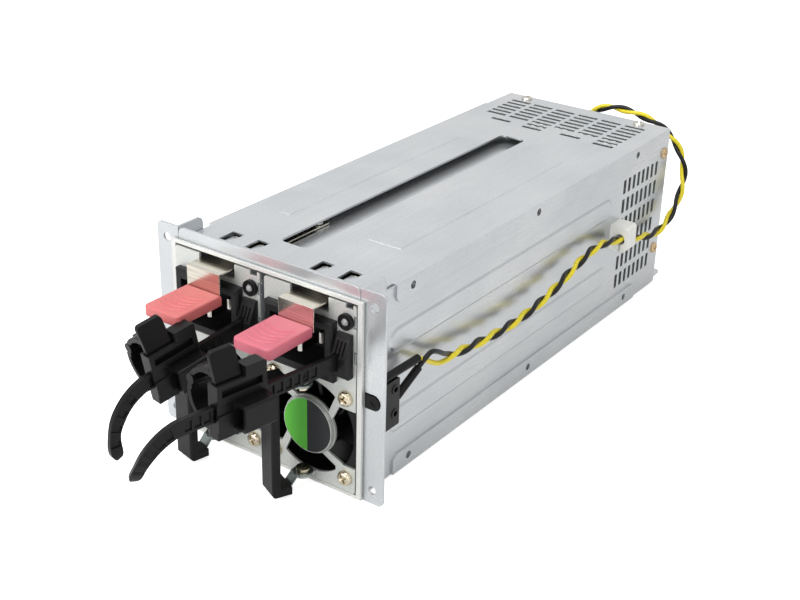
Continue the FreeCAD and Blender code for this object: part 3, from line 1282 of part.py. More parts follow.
def handle(module):
    """The folding handle: moulded grip, two sheet brackets with round lugs, and their pivots."""
    turn = Placement(Vector(0, size("pivot_y"), 0), Rotation(Vector(0, 0, 1), MODULES[module]["swing"]))
    name = f"{module}_handle_grip"
    owner = body(name + "_moulding")
    back = "(grip_front + grip_thick)"
    outline = [
        ("grip_front", "grip_low"), ("hook_end", "grip_low"), ("hook_end", "grip_low + hook_height"),
        (back, "grip_low + hook_height"), (back, "grip_high - hook_height"),
        ("hook_end", "grip_high - hook_height"), ("hook_end", "grip_high"), ("grip_front", "grip_high"),
    ]
    pad(owner, sketch(owner, "YZ_Plane", name + "_side", [outline]), "grip_width", middle=True)
    doc.recompute()
    corners = [f"Edge{number}" for number, edge in enumerate(owner.Shape.Edges, start=1)
               if edge.CenterOfMass.y < size("grip_front") + 0.01 and edge.Length > 5]
    bar = owner.Tip
    fillet = owner.newObject("PartDesign::Fillet", name + "_round")
    fillet.Base = (bar, corners)
    bind(fillet, "Radius", "grip_corner")
    slots = []
    for level, middle in (("low", "grip_low + hook_height / 2"), ("high", "grip_high - hook_height / 2")):
        half = "(bracket_sheet / 2 + bracket_gap)"
        slots.append(box(f"{name}_{level}_slot", ("-bracket_width / 2 - bracket_gap", "bracket_width / 2 + bracket_gap"),
                         (f"{back} - bracket_gap", "hook_end + 1"), (f"{middle} - {half}", f"{middle} + {half}")))
    finish(name, minus(name, owner, *slots), module, turn)

    name = f"{module}_handle_brackets"
    brackets = []
    for level, lug, inside in (
        ("low", "lug_low", "grip_low + hook_height / 2 - bracket_sheet / 2"),
        ("high", "lug_high - bracket_sheet", "grip_high - hook_height / 2 - bracket_sheet / 2"),
    ):
        owner = body(f"{name}_{level}")
        outline = [
            (back, inside), ("joggle_end", inside), ("joggle_start", lug), ("0", lug),
            ("0", f"{lug} + bracket_sheet"), ("joggle_start", f"{lug} + bracket_sheet"),
            ("joggle_end", f"{inside} + bracket_sheet"), (back, f"{inside} + bracket_sheet"),
        ]
        pad(owner, sketch(owner, "YZ_Plane", f"{name}_{level}_side", [outline]), "bracket_width", middle=True)
        disc = sketch(owner, "XY_Plane", f"{name}_{level}_lug", [("circle", "0", "0", "lug_radius")])
        bind(disc, "AttachmentOffset.Base.z", lug)
        pad(owner, disc, "bracket_sheet")
        hole = sketch(owner, "XY_Plane", f"{name}_{level}_hole",
                      [("circle", "0", "0", "pivot_shank + lug_hole_clear")])
        pocket(owner, hole, "4 * flange_height", middle=True)
        brackets.append(owner)
    finish(name, group(name, *brackets), module, turn)

    name = f"{module}_handle_pivots"
    centre = ("0", "pivot_y")
    top = "(lug_low + bracket_sheet + pivot_gap)"
    under = "(lug_high - bracket_sheet - pivot_gap)"
    low = union(name + "_low", rod(name + "_low_head", "pivot_head", "z", centre, (top, f"{top} + pivot_head_height")),
                rod(name + "_low_shank", "pivot_shank", "z", centre, (f"lug_low - {PIVOT_PLAY} - tab_plate", f"{top} + 0.1")))
    high = union(name + "_high",
                 rod(name + "_high_head", "pivot_head", "z", centre, (f"{under} - pivot_head_height", under)),
                 rod(name + "_high_shank", "pivot_shank", "z", centre,
                     (f"{under} - 0.1", f"lug_high + {PIVOT_PLAY} + tab_plate")))
    finish(name, group(name, low, high), module)


def strap_frame(module):
    """Place of the strap's own frame: its root barrel, turned by the strap's yaw and pitch."""
    yaw = Rotation(Vector(0, 0, 1), size("strap_yaw"))
    pitch = Rotation(Vector(1, 0, 0), -MODULES[module]["pitch"])
    return Placement(Vector(size("root_offset"), size("root_y"), size("root_z")), yaw.multiply(pitch))


def strap_place(point, lean, turn):
    """Place of one cross-section of the tail, in the strap's own frame."""
    aside, forward, down = point[:3]
    return Placement(Vector(-aside, -forward, -down),
                     Rotation(Vector(0, 0, 1), turn).multiply(Rotation(Vector(1, 0, 0), lean)))


def tail_places(module):
    """The places along a tail and the share of the strap's height that is left at each."""
    points = TAILS[module]
    places = []
    for number, point in enumerate(points):
        before = points[max(number - 1, 0)]
        beyond = points[min(number + 1, len(points) - 1)]
        aside, forward, down = (beyond[axis] - before[axis] for axis in range(3))
        lean = 0.0 if number == 0 else math.degrees(math.atan2(down, forward))
        turn = 0.0 if number == 0 else -math.degrees(math.atan2(aside, math.hypot(forward, down)))
        places.append((strap_place(point, lean, turn), point[3]))
    return places


def strap_cell(name, depth):
    """One pocket of the strap's right face, at the origin of its frame."""
    half = "strap_thick / 2"
    return box(name, (f"{half} - {depth}", f"{half} + 1"), ("-rack_cell", "0"),
               ("-rack_cell_height / 2", "rack_cell_height / 2"))


def cord_strap(module):
    """The nylon strap: plain tongue in its socket, a run of pockets and a tail that curls down."""
    name = f"{module}_strap"
    half = "strap_thick / 2"
    tall = "strap_height / 2"
    reach = MODULES[module]["run"]
    run = box(name + "_run", (f"-{half}", half), (f"-{reach}", "tongue_end"), (f"-{tall}", tall))
    places = tail_places(module)
    sections = []
    for place, share in places:
        wide = size("strap_thick") / 2 * (1.0 if share > 0.5 else 0.6)
        high = size("strap_height") / 2 * share
        corners = [Vector(a * wide, 0, b * high) for a, b in ((-1, -1), (1, -1), (1, 1), (-1, 1), (-1, -1))]
        sections.append(Part.makePolygon([place.multVec(corner) for corner in corners]))
    tail = doc.addObject("Part::Feature", name + "_tail")
    tail.Shape = Part.makeLoft(sections, True, False)
    cells = []
    for number in range(int((reach - size("rack_first")) / size("rack_pitch"))):
        cell = strap_cell(f"{name}_cell_{number}", "rack_cell_depth")
        placed = group(f"{name}_cell_{number}_placed", cell)
        bind(placed, "Placement.Base.y", f"-rack_first - {number} * rack_pitch")
        cells.append(placed)
    cells.append(rod(name + "_dimple", "rack_dimple", "x", ("-rack_first - 1.5 * rack_pitch", "0"),
                     (f"{half} - rack_cell_depth - 0.3", f"{half} + 1")))
    for number, (place, share) in enumerate(places[1:-2]):
        cell = strap_cell(f"{name}_tail_cell_{number}", "rack_cell_depth")
        placed = group(f"{name}_tail_cell_{number}_placed", cell)
        placed.Placement = place
        cells.append(placed)
    strap = minus(name, union(name + "_solid", run, tail), *cells)
    finish(name, strap, module, strap_frame(module))

    name = f"{module}_strap_anchor"
    owner = body(name + "_block")
    outline = [(f"module_front + ({forward})", f"{height}") for forward, height in ANCHOR_PROFILE]
    side = sketch(owner, "YZ_Plane", name + "_side", [outline])
    bind(side, "AttachmentOffset.Base.z", "anchor_start")
    pad(owner, side, "anchor_end - anchor_start")
    (upper_y, upper_z), (lower_y, lower_z) = ANCHOR_PROFILE[2:4]
    lean = math.degrees(math.atan2(upper_y - lower_y, upper_z - lower_z))
    grooves = []
    for number in range(3):
        groove = box(f"{name}_groove_{number}", ("-anchor_groove / 2", "anchor_groove / 2"),
                     ("-anchor_groove", "anchor_groove"), ("-2.6", "2.6"))
        placed = group(f"{name}_groove_{number}_placed", groove)
        middle = Vector(size("anchor_start") + 1.5 * (number + 1),
                        size("module_front") + (upper_y + lower_y) / 2, (upper_z + lower_z) / 2)
        placed.Placement = Placement(middle, Rotation(Vector(1, 0, 0), -lean))
        grooves.append(placed)
    socket = box(name + "_socket", (f"-{half} - socket_gap", f"{half} + socket_gap"),
                 ("-3", "tongue_end + socket_gap"), (f"-{tall} - socket_gap", f"{tall} + socket_gap"))
    placed = group(name + "_socket_placed", socket)
    placed.Placement = strap_frame(module)
    finish(name, minus(name, owner, *grooves, placed), module)


def cord_clamp(module):
    """The clamp that runs on the strap: body with half a loop, hinged flap and release lever."""
    placement = strap_frame(module)
    start = MODULES[module]["clamp_start"]
    rear = f"(-{start})"
    front = f"(-{start} - clamp_length)"
    name = f"{module}_clamp_body"
    tall = "(strap_height / 2 + clamp_gap)"
    half = "(strap_thick / 2 + clamp_gap)"
    core = box(name + "_core", ("clamp_left", "clamp_core_right"), (front, rear), ("clamp_low", f"{tall} + 1"))
    head = box(name + "_head", ("clamp_left", "clamp_right"), (front, rear), (tall, "clamp_high"))
    head = eased(name + "_head_round", head, 1.0,
                 lambda at, axis: axis == "x" and at.z > size("clamp_high") - 0.1)
    pod = box(name + "_pod", ("pod_left", "pod_right"), (f"{front} + pod_start", rear), ("pod_low", "pod_high"))
    pod = eased(name + "_pod_round", pod, 0.8, lambda at, axis: axis == "y" and at.x > size("pod_right") - 0.1)
    owner = body(name + "_fin")
    fin_end = f"{front} + pod_start + 0.5"
    fin_side = sketch(owner, "YZ_Plane", name + "_fin_side", [[
        (front, "fin_front_low"), (fin_end, "clamp_low"), (fin_end, "fin_high"), (front, "fin_high")]])
    bind(fin_side, "AttachmentOffset.Base.z", "pod_left")
    pad(owner, fin_side, "fin_right - pod_left")
    solid = union(name + "_solid", core, head, pod, owner)
    channel = box(name + "_channel", (f"-{half}", half), (f"{front} - 1", f"{rear} + 1"), (f"-{tall}", tall))
    seat_end = f"{front} + lever_length + 2 * clamp_gap + 0.6"
    tools = [
        channel,
        box(name + "_window", ("clamp_right - window_inset", "clamp_right + 1"),
            (f"{front} + window_inset", f"{rear} - window_inset"), ("window_low", "window_high")),
        box(name + "_hollow", ("pod_left + pod_wall", "pod_right - pod_wall"),
            (f"{front} + pod_start - 1", f"{front} + 2 * pod_start"), ("pod_low + pod_wall", "pod_high - pod_wall")),
        box(name + "_step", ("clamp_left - 1", "clamp_right + 1"), (f"{front} - 1", seat_end),
            ("clamp_high - clamp_step", "clamp_high + 1")),
        box(name + "_lever_seat", ("-lever_thick / 2 - clamp_gap", "lever_thick / 2 + clamp_gap"),
            (f"{front} + 0.3", seat_end), ("clamp_high - clamp_step - lever_root + 0.4", "clamp_high")),
    ]
    shaped = minus(name + "_shaped", solid, *tools)
    loop_span = (f"{front} + loop_set_back", f"{front} + loop_set_back + loop_length")
    centre = ("loop_centre_n", "loop_centre_z")
    lower = half_loop(name + "_loop", loop_span, centre, ("loop_centre_n - loop_radius", "clamp_left + 0.5"),
                      ("loop_centre_z - loop_radius", "knuckle_z - knuckle_radius - clamp_gap"))
    arm_x = ("knuckle_n - loop_wall / 2", "knuckle_n + loop_wall / 2")
    ear_span = (loop_span[0], f"{loop_span[0]} + loop_length / 3 - clamp_gap")
    ear_rear = box(name + "_knuckle_arm", arm_x, ear_span, ("knuckle_z - knuckle_radius - 1.4", "knuckle_z"))
    knuckle = rod(name + "_knuckle", "knuckle_radius", "y", ("knuckle_n", "knuckle_z"), ear_span)
    pin = rod(name + "_pin", "knuckle_radius / 2", "y", ("knuckle_n", "knuckle_z"),
              (loop_span[0], f"{loop_span[0]} + loop_length"))
    finish(name, union(name, shaped, lower, ear_rear, knuckle, pin), module, placement)

    name = f"{module}_clamp_flap"
    upper = half_loop(name + "_loop", loop_span, centre, ("loop_centre_n - loop_radius", "clamp_left - clamp_gap"),
                      ("knuckle_z + knuckle_radius + clamp_gap", "loop_centre_z + loop_radius"))
    flap_span = (f"{loop_span[0]} + loop_length / 3", f"{loop_span[1]}")
    arm = box(name + "_arm", (arm_x[0], f"{arm_x[1]} + 0.4"), flap_span, ("knuckle_z", "knuckle_z + knuckle_radius + 1.4"))
    barrel = rod(name + "_barrel", "knuckle_radius", "y", ("knuckle_n", "knuckle_z"), flap_span)
    bore = rod(name + "_bore", "knuckle_radius / 2 + shaft_clear", "y", ("knuckle_n", "knuckle_z"),
               (loop_span[0], f"{loop_span[1]} + 1"))
    ribs = []
    for number, angle in enumerate((128, 110, 92)):
        ribs.append(rod(f"{name}_rib_{number}", "flap_rib", "y",
                        (f"loop_centre_n + cos({angle}) * loop_radius", f"loop_centre_z + sin({angle}) * loop_radius"),
                        flap_span))
    flap = union(name + "_solid", upper, arm, barrel, *ribs)
    finish(name, minus(name, flap, bore), module, placement)

    name = f"{module}_clamp_lever"
    base = "(clamp_high - clamp_step - lever_root + 0.7)"
    shoulder = f"({base} + lever_root)"
    owner = body(name + "_plate")
    outline = [
        ("-lever_thick / 2", base), ("lever_thick / 2", base), ("lever_thick / 2", shoulder),
        ("lever_lean + lever_thick / 2", f"{shoulder} + lever_rise"),
        ("lever_lean - lever_thick / 2 + 0.2", f"{shoulder} + lever_rise + 0.3"), ("-lever_thick / 2", shoulder),
    ]
    pad(owner, sketch(owner, "XZ_Plane", name + "_section", [outline]), "lever_length", reverse=True)
    placed = group(name + "_placed", owner)
    bind(placed, "Placement.Base.y", f"{front} + 0.6")
    plate = eased(name, placed, 1.5, lambda at, axis: axis == "x" and at.z > size("clamp_high") + 3)
    finish(name, plate, module, placement)


def half_loop(name, span, centre, across, up):
    """The part of the loop's round wall that lies in one span across and one span up."""
    wide = (f"{span[0]} - 1", f"{span[1]} + 1")
    outer = rod(name + "_outer", "loop_radius", "y", centre, span)
    inner = rod(name + "_inner", "loop_radius - loop_wall", "y", centre, wide)
    wall = minus(name + "_wall", outer, inner)
    return common(name, wall, box(name + "_part", across, span, up))


def circuit(module):
    """The main board with its edge finger, and the bulk capacitors on it."""
    name = f"{module}_main_board"
    half = "board_thick / 2"
    across = (f"board_offset - {half}", f"board_offset + {half}")
    plate = box(name + "_plate", across, ("board_front", "module_rear - case_sheet - running_gap"),
                (f"{MODULE_LOW} + case_sheet + running_gap", f"{CASE_HIGH} - case_sheet - running_gap"))
    finger = box(name + "_finger", across, ("board_front + 1", "finger_end"), ("finger_low", "finger_high"))
    finish(name, union(name, plate, finger), module)
    name = f"{module}_capacitors"
    cans = []
    for number in range(2):
        can = rod(f"{name}_{number}", "capacitor_radius", "x",
                  (f"board_front + 40 + {number} * (2 * capacitor_radius + 2)", "-12"),
                  (f"board_offset + {half}", f"board_offset + {half} + capacitor_length"))
        cans.append(can)
    finish(name, group(name, *cans), module)


cage_side("cage_side_left", -1)
cage_side("cage_side_right", 1)
cage_top()
cage_bottom()
cage_rear()
front_ring()
bay_divider()
cage_screws()
outlet_bushing()
backplane()
alarm_parts()
cable_clip()
alarm_cord()
for module in MODULES:
    front_panel(module)
    module_case(module)
    module_cover(module)
    fan_frame(module)
    fan_rotor(module)
    fan_screws(module)
    ac_inlet(module)
    inlet_pins(module)
    status_light(module)
    latch(module)
    handle(module)
    cord_strap(module)
    cord_clamp(module)
    circuit(module)

doc.recompute()
broken = [item.Name for item in doc.Objects if "Invalid" in item.State or "Error" in item.State]
if broken:
    raise RuntimeError("these did not rebuild: " + ", ".join(broken))
shapeless = [node.Label for node in nodes if node.Shape.isNull() or not node.Shape.isValid()]
if shapeless:
    raise RuntimeError("these have no valid shape: " + ", ".join(shapeless))
for node in nodes:
    print(node.Label, "solids", len(node.Shape.Solids), "volume", round(node.Shape.Volume, 1))
    node.Shape.exportStep(f"parts/{node.Label}.step")
print("sub-parts", len(nodes))
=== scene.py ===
"""Looks of a hot swap power supply: a zinc coated cage with two plug-in power modules."""

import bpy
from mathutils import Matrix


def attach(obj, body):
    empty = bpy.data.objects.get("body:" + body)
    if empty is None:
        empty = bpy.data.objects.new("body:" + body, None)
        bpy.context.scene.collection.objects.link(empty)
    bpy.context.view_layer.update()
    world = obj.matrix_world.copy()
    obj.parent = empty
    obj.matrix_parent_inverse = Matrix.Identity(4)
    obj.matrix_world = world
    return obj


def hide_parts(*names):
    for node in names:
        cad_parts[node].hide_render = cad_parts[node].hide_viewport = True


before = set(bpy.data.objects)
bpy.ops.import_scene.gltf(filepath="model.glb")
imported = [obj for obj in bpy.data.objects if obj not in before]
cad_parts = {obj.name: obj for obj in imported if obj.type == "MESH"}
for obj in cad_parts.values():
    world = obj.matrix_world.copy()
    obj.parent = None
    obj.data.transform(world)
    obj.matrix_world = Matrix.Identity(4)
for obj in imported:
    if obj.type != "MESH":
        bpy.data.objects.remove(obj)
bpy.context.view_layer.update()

import logging
import math
from dataclasses import dataclass
from enum import Enum

import bmesh
import bpy
from mathutils import Matrix, Vector

log = logging.getLogger("power_supply")
MM = 0.001


class Side(Enum):
    """The bay a module sits in, by the sign of its place on X."""

    LEFT = -1
    RIGHT = 1

    @property
    def label(self) -> str:
        """The word that the module's nodes and bodies start with."""
        return self.name.lower()


class Tint(Enum):
    """The colours of a two-colour label."""

    GREEN = "#58BE38"
    CHARCOAL = "#222326"


def linear(code: str) -> tuple[float, float, float, float]:
    """Turn an sRGB hex colour into a linear one.

    Args:
        code: the colour as #RRGGBB.

    Returns:
        Red, green, blue and alpha.
    """
    parts = [int(code[place:place + 2], 16) / 255 for place in (1, 3, 5)]
    return (*(part / 12.92 if part <= 0.04045 else ((part + 0.055) / 1.055) ** 2.4 for part in parts), 1.0)


def add(tree: bpy.types.NodeTree, kind: str, inputs: dict | None = None,
        **settings: object) -> bpy.types.Node:
    """Add one shader node.

    Args:
        tree: the material's or the world's node tree.
        kind: the node's type without its ShaderNode prefix.
        inputs: socket name or number, with a value or an output socket to link.
        settings: attributes of the node, such as its operation.

    Returns:
        The new node.
    """
    made = tree.nodes.new("ShaderNode" + kind)
    for name, value in settings.items():
        setattr(made, name, value)
    for name, value in (inputs or {}).items():
        if isinstance(value, bpy.types.NodeSocket):
            tree.links.new(value, made.inputs[name])
        else:
            made.inputs[name].default_value = value
    return made


@dataclass(frozen=True)
class Finish:
    """A surface, named for what the thing is made of and how its surface was made."""

    name: str
    colour: str
    roughness: float
    metallic: float = 0.0
    edge_mm: float = 0.0
    shine: float = 0.5

    def material(self) -> bpy.types.Material:
        """Return this finish's material, made on first use."""
        found = bpy.data.materials.get(self.name)
        if found:
            return found
        made = bpy.data.materials.new(self.name)
        made.use_nodes = True
        shader = made.node_tree.nodes["Principled BSDF"]
        shader.inputs["Base Color"].default_value = linear(self.colour)
        shader.inputs["Roughness"].default_value = self.roughness
        shader.inputs["Metallic"].default_value = self.metallic
        shader.inputs["Specular IOR Level"].default_value = self.shine
        if self.edge_mm:
            soft = add(made.node_tree, "Bevel", {"Radius": self.edge_mm * MM}, samples=4)
            made.node_tree.links.new(soft.outputs[0], shader.inputs["Normal"])
        self.dress(made.node_tree, shader)
        return made

    def dress(self, tree: bpy.types.NodeTree, shader: bpy.types.Node) -> None:
        """Add the pattern that this kind of surface has.

        Args:
            tree: the material's node tree.
            shader: its Principled node.
        """

    def vary(self, tree: bpy.types.NodeTree, shader: bpy.types.Node, factor: bpy.types.NodeSocket,
             dark: str, spread: float) -> None:
        """Let a pattern shift the colour and the roughness.

        Args:
            tree: the material's node tree.
            shader: its Principled node.
            factor: the pattern, from 0 to 1.
            dark: the colour where the pattern is 0.
            spread: how far the roughness moves to each side.
        """
        mixed = add(tree, "Mix", {"Factor": factor, 6: linear(dark), 7: linear(self.colour)},
                    data_type="RGBA")
        tree.links.new(mixed.outputs[2], shader.inputs["Base Color"])
        rough = add(tree, "MapRange", {"Value": factor, "To Min": self.roughness + spread,
                                       "To Max": self.roughness - spread})
        tree.links.new(rough.outputs[0], shader.inputs["Roughness"])

    def emboss(self, tree: bpy.types.NodeTree, shader: bpy.types.Node, height: bpy.types.NodeSocket,
               depth: float) -> None:
        """Raise the surface by a pattern.

        Args:
            tree: the material's node tree.
            shader: its Principled node.
            height: the pattern, from 0 to 1.
            depth: the height of the pattern in metres.
        """
        bump = add(tree, "Bump", {"Height": height, "Distance": depth, "Strength": 1.0})
        for link in list(shader.inputs["Normal"].links):
            tree.links.new(link.from_socket, bump.inputs["Normal"])
        tree.links.new(bump.outputs[0], shader.inputs["Normal"])


@dataclass(frozen=True)
class RolledSheet(Finish):
    """Rolled sheet steel with a thin zinc coat: an even mottle, soft clouds and faint rolling lines."""

    dark: str = "#BDC1C4"
    grain_mm: float = 0.55
    cloud_mm: float = 28.0
    cloud_share: float = 0.4
    line_mm: float = 0.6
    line_share: float = 0.22
    line_way: tuple[float, float, float] = (1.0, 0.03, 1.0)
    pattern_low: float = 0.35
    pattern_high: float = 0.62
    gloss_spread: float = 0.03
    relief_m: float = 0.000004

    def dress(self, tree: bpy.types.NodeTree, shader: bpy.types.Node) -> None:
        """Lay mottle, clouds and rolling lines over the sheet.

        Args:
            tree: the material's node tree.
            shader: its Principled node.
        """
        place = add(tree, "TexCoord").outputs["Object"]
        mottle = add(tree, "TexNoise", {"Vector": place, "Scale": 1 / (self.grain_mm * MM), "Detail": 3.0,
                                        "Roughness": 0.65})
        clouds = add(tree, "TexNoise", {"Vector": place, "Scale": 1 / (self.cloud_mm * MM), "Detail": 1.0})
        stretched = add(tree, "Mapping", {"Vector": place, "Scale": self.line_way})
        lines = add(tree, "TexNoise", {"Vector": stretched.outputs[0], "Scale": 1 / (self.line_mm * MM),
                                       "Detail": 2.0})
        both = add(tree, "Mix", {"Factor": self.cloud_share, 2: mottle.outputs["Fac"],
                                 3: clouds.outputs["Fac"]}, data_type="FLOAT")
        drawn = add(tree, "Mix", {"Factor": self.line_share, 2: both.outputs[0], 3: lines.outputs["Fac"]},
                    data_type="FLOAT")
        sharp = add(tree, "MapRange", {"Value": drawn.outputs[0], "From Min": self.pattern_low,
                                       "From Max": self.pattern_high})
        self.vary(tree, shader, sharp.outputs[0], self.dark, self.gloss_spread)
        self.emboss(tree, shader, mottle.outputs["Fac"], self.relief_m)


@dataclass(frozen=True)
class PlatedMetal(Finish):
    """Plated steel or brass: small smooth pieces with faint handling marks."""

    dark: str = "#8A8680"
    mark_mm: float = 1.5
    gloss_spread: float = 0.06

    def dress(self, tree: bpy.types.NodeTree, shader: bpy.types.Node) -> None:
        """Lay faint handling marks over the plating.

        Args:
            tree: the material's node tree.
            shader: its Principled node.
        """
        place = add(tree, "TexCoord").outputs["Object"]
        marks = add(tree, "TexNoise", {"Vector": place, "Scale": 1 / (self.mark_mm * MM), "Detail": 4.0})
        self.vary(tree, shader, marks.outputs["Fac"], self.dark, self.gloss_spread)


@dataclass(frozen=True)
class MouldedPlastic(Finish):
    """Injection moulded plastic: a fine spark-eroded grain and soft highlights."""

    dark: str = "#101012"
    cloud_mm: float = 6.0
    gloss_spread: float = 0.05
    grain_mm: float = 0.25
    grain_depth: float = 0.00001

    def dress(self, tree: bpy.types.NodeTree, shader: bpy.types.Node) -> None:
        """Lay the mould's grain and a slow change of gloss over the piece.

        Args:
            tree: the material's node tree.
            shader: its Principled node.
        """
        place = add(tree, "TexCoord").outputs["Object"]
        cloud = add(tree, "TexNoise", {"Vector": place, "Scale": 1 / (self.cloud_mm * MM), "Detail": 2.0})
        self.vary(tree, shader, cloud.outputs["Fac"], self.dark, self.gloss_spread)
        grain = add(tree, "TexNoise", {"Vector": place, "Scale": 1 / (self.grain_mm * MM), "Detail": 2.0})
        self.emboss(tree, shader, grain.outputs["Fac"], self.grain_depth)


@dataclass(frozen=True)
class TwoColourLabel(Finish):
    """A bare printed film label in two colours that meet on a straight upright line."""

    split: float = 0.0
    spot_mm: float = 0.4
    spot_share: float = 0.03
    left: Tint = Tint.GREEN
    right: Tint = Tint.CHARCOAL

    def dress(self, tree: bpy.types.NodeTree, shader: bpy.types.Node) -> None:
        """Colour the label's two halves.

        Args:
            tree: the material's node tree.
            shader: its Principled node.
        """
        place = add(tree, "TexCoord").outputs["Object"]
        across = add(tree, "SeparateXYZ", {0: place})
        beyond = add(tree, "Math", {0: across.outputs["X"], 1: self.split}, operation="GREATER_THAN")
        print_spots = add(tree, "TexNoise", {"Vector": place, "Scale": 1 / (self.spot_mm * MM)})
        mixed = add(tree, "Mix", {"Factor": beyond.outputs[0], 6: linear(self.left.value),
                                  7: linear(self.right.value)}, data_type="RGBA")
        spotted = add(tree, "Mix", {"Factor": self.spot_share, 6: mixed.outputs[2],
                                    7: print_spots.outputs["Color"]}, data_type="RGBA")
        tree.links.new(spotted.outputs[2], shader.inputs["Base Color"])


@dataclass(frozen=True)
class ClearMoulding(Finish):
    """A clear polycarbonate lens."""

    clearness: float = 0.6
    index: float = 1.58
    haze_mm: float = 1.2

    def dress(self, tree: bpy.types.NodeTree, shader: bpy.types.Node) -> None:
        """Let light through the lens.

        Args:
            tree: the material's node tree.
            shader: its Principled node.
        """
        shader.inputs["Transmission Weight"].default_value = self.clearness
        shader.inputs["IOR"].default_value = self.index
        place = add(tree, "TexCoord").outputs["Object"]
        haze = add(tree, "TexNoise", {"Vector": place, "Scale": 1 / (self.haze_mm * MM)})
        rough = add(tree, "MapRange", {"Value": haze.outputs["Fac"], "To Min": 0.05, "To Max": 0.18})
        tree.links.new(rough.outputs[0], shader.inputs["Roughness"])


# zinc coated steel: pale and satin, with a cool cast, smooth enough to mirror what lies close to it
ZINC_SHEET = RolledSheet("zinc_coated_sheet", "#D2D4D6", 0.30, 0.8, edge_mm=0.2)
# the folded front frame is coloured paler than the cage sheet, a painted highlight for the light its rounded
# fold catches, with a grained face
FRAME_PAINTED_HIGHLIGHT = RolledSheet("folded_frame_painted_highlight", "#DDDEDB", 0.5, 0.5, edge_mm=0.25, dark="#CACBC8")
# the modules' panels: the same coat on a grained, less smooth sheet
GRAINED_PANEL = RolledSheet("grained_panel_sheet", "#CDD0CC", 0.46, 0.55, edge_mm=0.2, dark="#B9BCB9")
# spring steel: warm and bright, brushed across, mirrors the red tab
SPRING_STEEL = RolledSheet("brushed_spring_steel", "#DCD7CB", 0.2, 1.0, edge_mm=0.3, dark="#BFB9AC",
                           grain_mm=0.4, line_share=0.7, line_way=(0.03, 1.0, 1.0))
# the handle's strip is a darker grey-green steel
BAIL_STEEL = RolledSheet("passivated_bail_steel", "#98A19E", 0.26, 0.9, dark="#7F8886", grain_mm=0.8)
# nickel plated screws: bright with a yellow cast
NICKEL_SCREW = PlatedMetal("nickel_plated_screw", "#E2D8C2", 0.2, 1.0, dark="#B9AD93")
ZINC_SCREW = PlatedMetal("bright_zinc_screw", "#D9D6CE", 0.24, 1.0, dark="#B5B1A8")
GILT_SCREW = PlatedMetal("yellow_zinc_screw", "#DFC7A2", 0.24, 1.0, dark="#B59A72")
CONTACT = PlatedMetal("nickel_plated_contact", "#E4E1DA", 0.25, 1.0)
# glass filled nylon: near black with a soft sheen on its eased edges
BLACK_NYLON = MouldedPlastic("satin_black_nylon", "#141415", 0.34, edge_mm=0.3, shine=0.18, dark="#0E0E0F")
# flame retardant plastic of the inlet, fan and switch: near black, satin
DARK_MOULDING = MouldedPlastic("dark_grey_moulding", "#1B1B1D", 0.4, edge_mm=0.2, shine=0.22, dark="#141415")
FAN_PLASTIC = MouldedPlastic("black_fan_plastic", "#0C0C0D", 0.34, shine=0.25, dark="#080809")
# touch-point plastic with a slight gloss; the two tabs come from different batches
CORAL_TAB = MouldedPlastic("coral_touch_plastic", "#D27270", 0.42, dark="#CC6867", grain_depth=0.000004)
ROSE_TAB = MouldedPlastic("rose_touch_plastic", "#D06E7D", 0.42, dark="#CA6475", grain_depth=0.000004)
WHITE_NYLON = MouldedPlastic("natural_white_nylon", "#F6F6F2", 0.4, edge_mm=0.3, dark="#ECECE6")
YELLOW_WIRE = MouldedPlastic("yellow_vinyl_insulation", "#EDDC30", 0.38, dark="#E3CF22",
                             grain_depth=0.000003)
BLACK_WIRE = MouldedPlastic("black_vinyl_insulation", "#101011", 0.32, shine=0.3, dark="#0B0B0C",
                            grain_depth=0.000003)
SHRINK_SLEEVE = MouldedPlastic("black_shrink_sleeve", "#131314", 0.5, shine=0.2, dark="#0D0D0E")
CIRCUIT_BOARD = MouldedPlastic("green_solder_mask", "#1F6B3C", 0.35, dark="#17582F")
CAPACITOR_FILM = MouldedPlastic("dark_blue_capacitor_film", "#1D2436", 0.25, dark="#161B2A")
LENS = ClearMoulding("clear_polycarbonate_lens", "#C9CCCC", 0.1)


def settle(bm: bmesh.types.BMesh, name: str, body: str, finishes: tuple[Finish, ...],
           smooth_deg: float = 35.0) -> bpy.types.Object:
    """Turn a finished bmesh into a piece that rides on a body.

    Args:
        bm: the mesh in metres, in the object's frame; it is freed.
        name: the piece's name.
        body: the CAD body that it moves with.
        finishes: its finishes, in the order of the faces' material numbers.
        smooth_deg: edges flatter than this are shaded smooth.

    Returns:
        The new object.
    """
    mesh = bpy.data.meshes.new(name)
    bm.normal_update()
    for edge in bm.edges:
        edge.smooth = len(edge.link_faces) == 2 and edge.calc_face_angle(0.0) < math.radians(smooth_deg)
    for face in bm.faces:
        face.smooth = True
    bm.to_mesh(mesh)
    bm.free()
    for finish in finishes:
        mesh.materials.append(finish.material())
    piece = bpy.data.objects.new(name, mesh)
    bpy.context.scene.collection.objects.link(piece)
    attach(piece, body)
    log.info("%s: %d faces on %s", name, len(mesh.polygons), body)
    return piece


def turned(bm: bmesh.types.BMesh, profile: list[tuple[float, float]], segments: int = 24) -> list:
    """Spin a profile of (radius, height) about Z into a closed skin.

    Args:
        bm: the mesh to add to.
        profile: points in millimetres, from the axis out and back to the axis.
        segments: steps of the full turn.

    Returns:
        The new vertices.
    """
    before = set(bm.verts)
    line = [bm.verts.new((radius * MM, 0, height * MM)) for radius, height in profile]
    edges = [bm.edges.new(pair) for pair in zip(line, line[1:])]
    bmesh.ops.spin(bm, geom=line + edges, cent=(0, 0, 0), axis=(0, 0, 1), angle=math.tau, steps=segments,
                   use_merge=True)
    made = [vert for vert in bm.verts if vert not in before]
    bmesh.ops.remove_doubles(bm, verts=made, dist=1e-7)
    made = [vert for vert in bm.verts if vert not in before]
    faces = [face for face in bm.faces if face.verts[0] not in before]
    bmesh.ops.recalc_face_normals(bm, faces=faces)
    return made


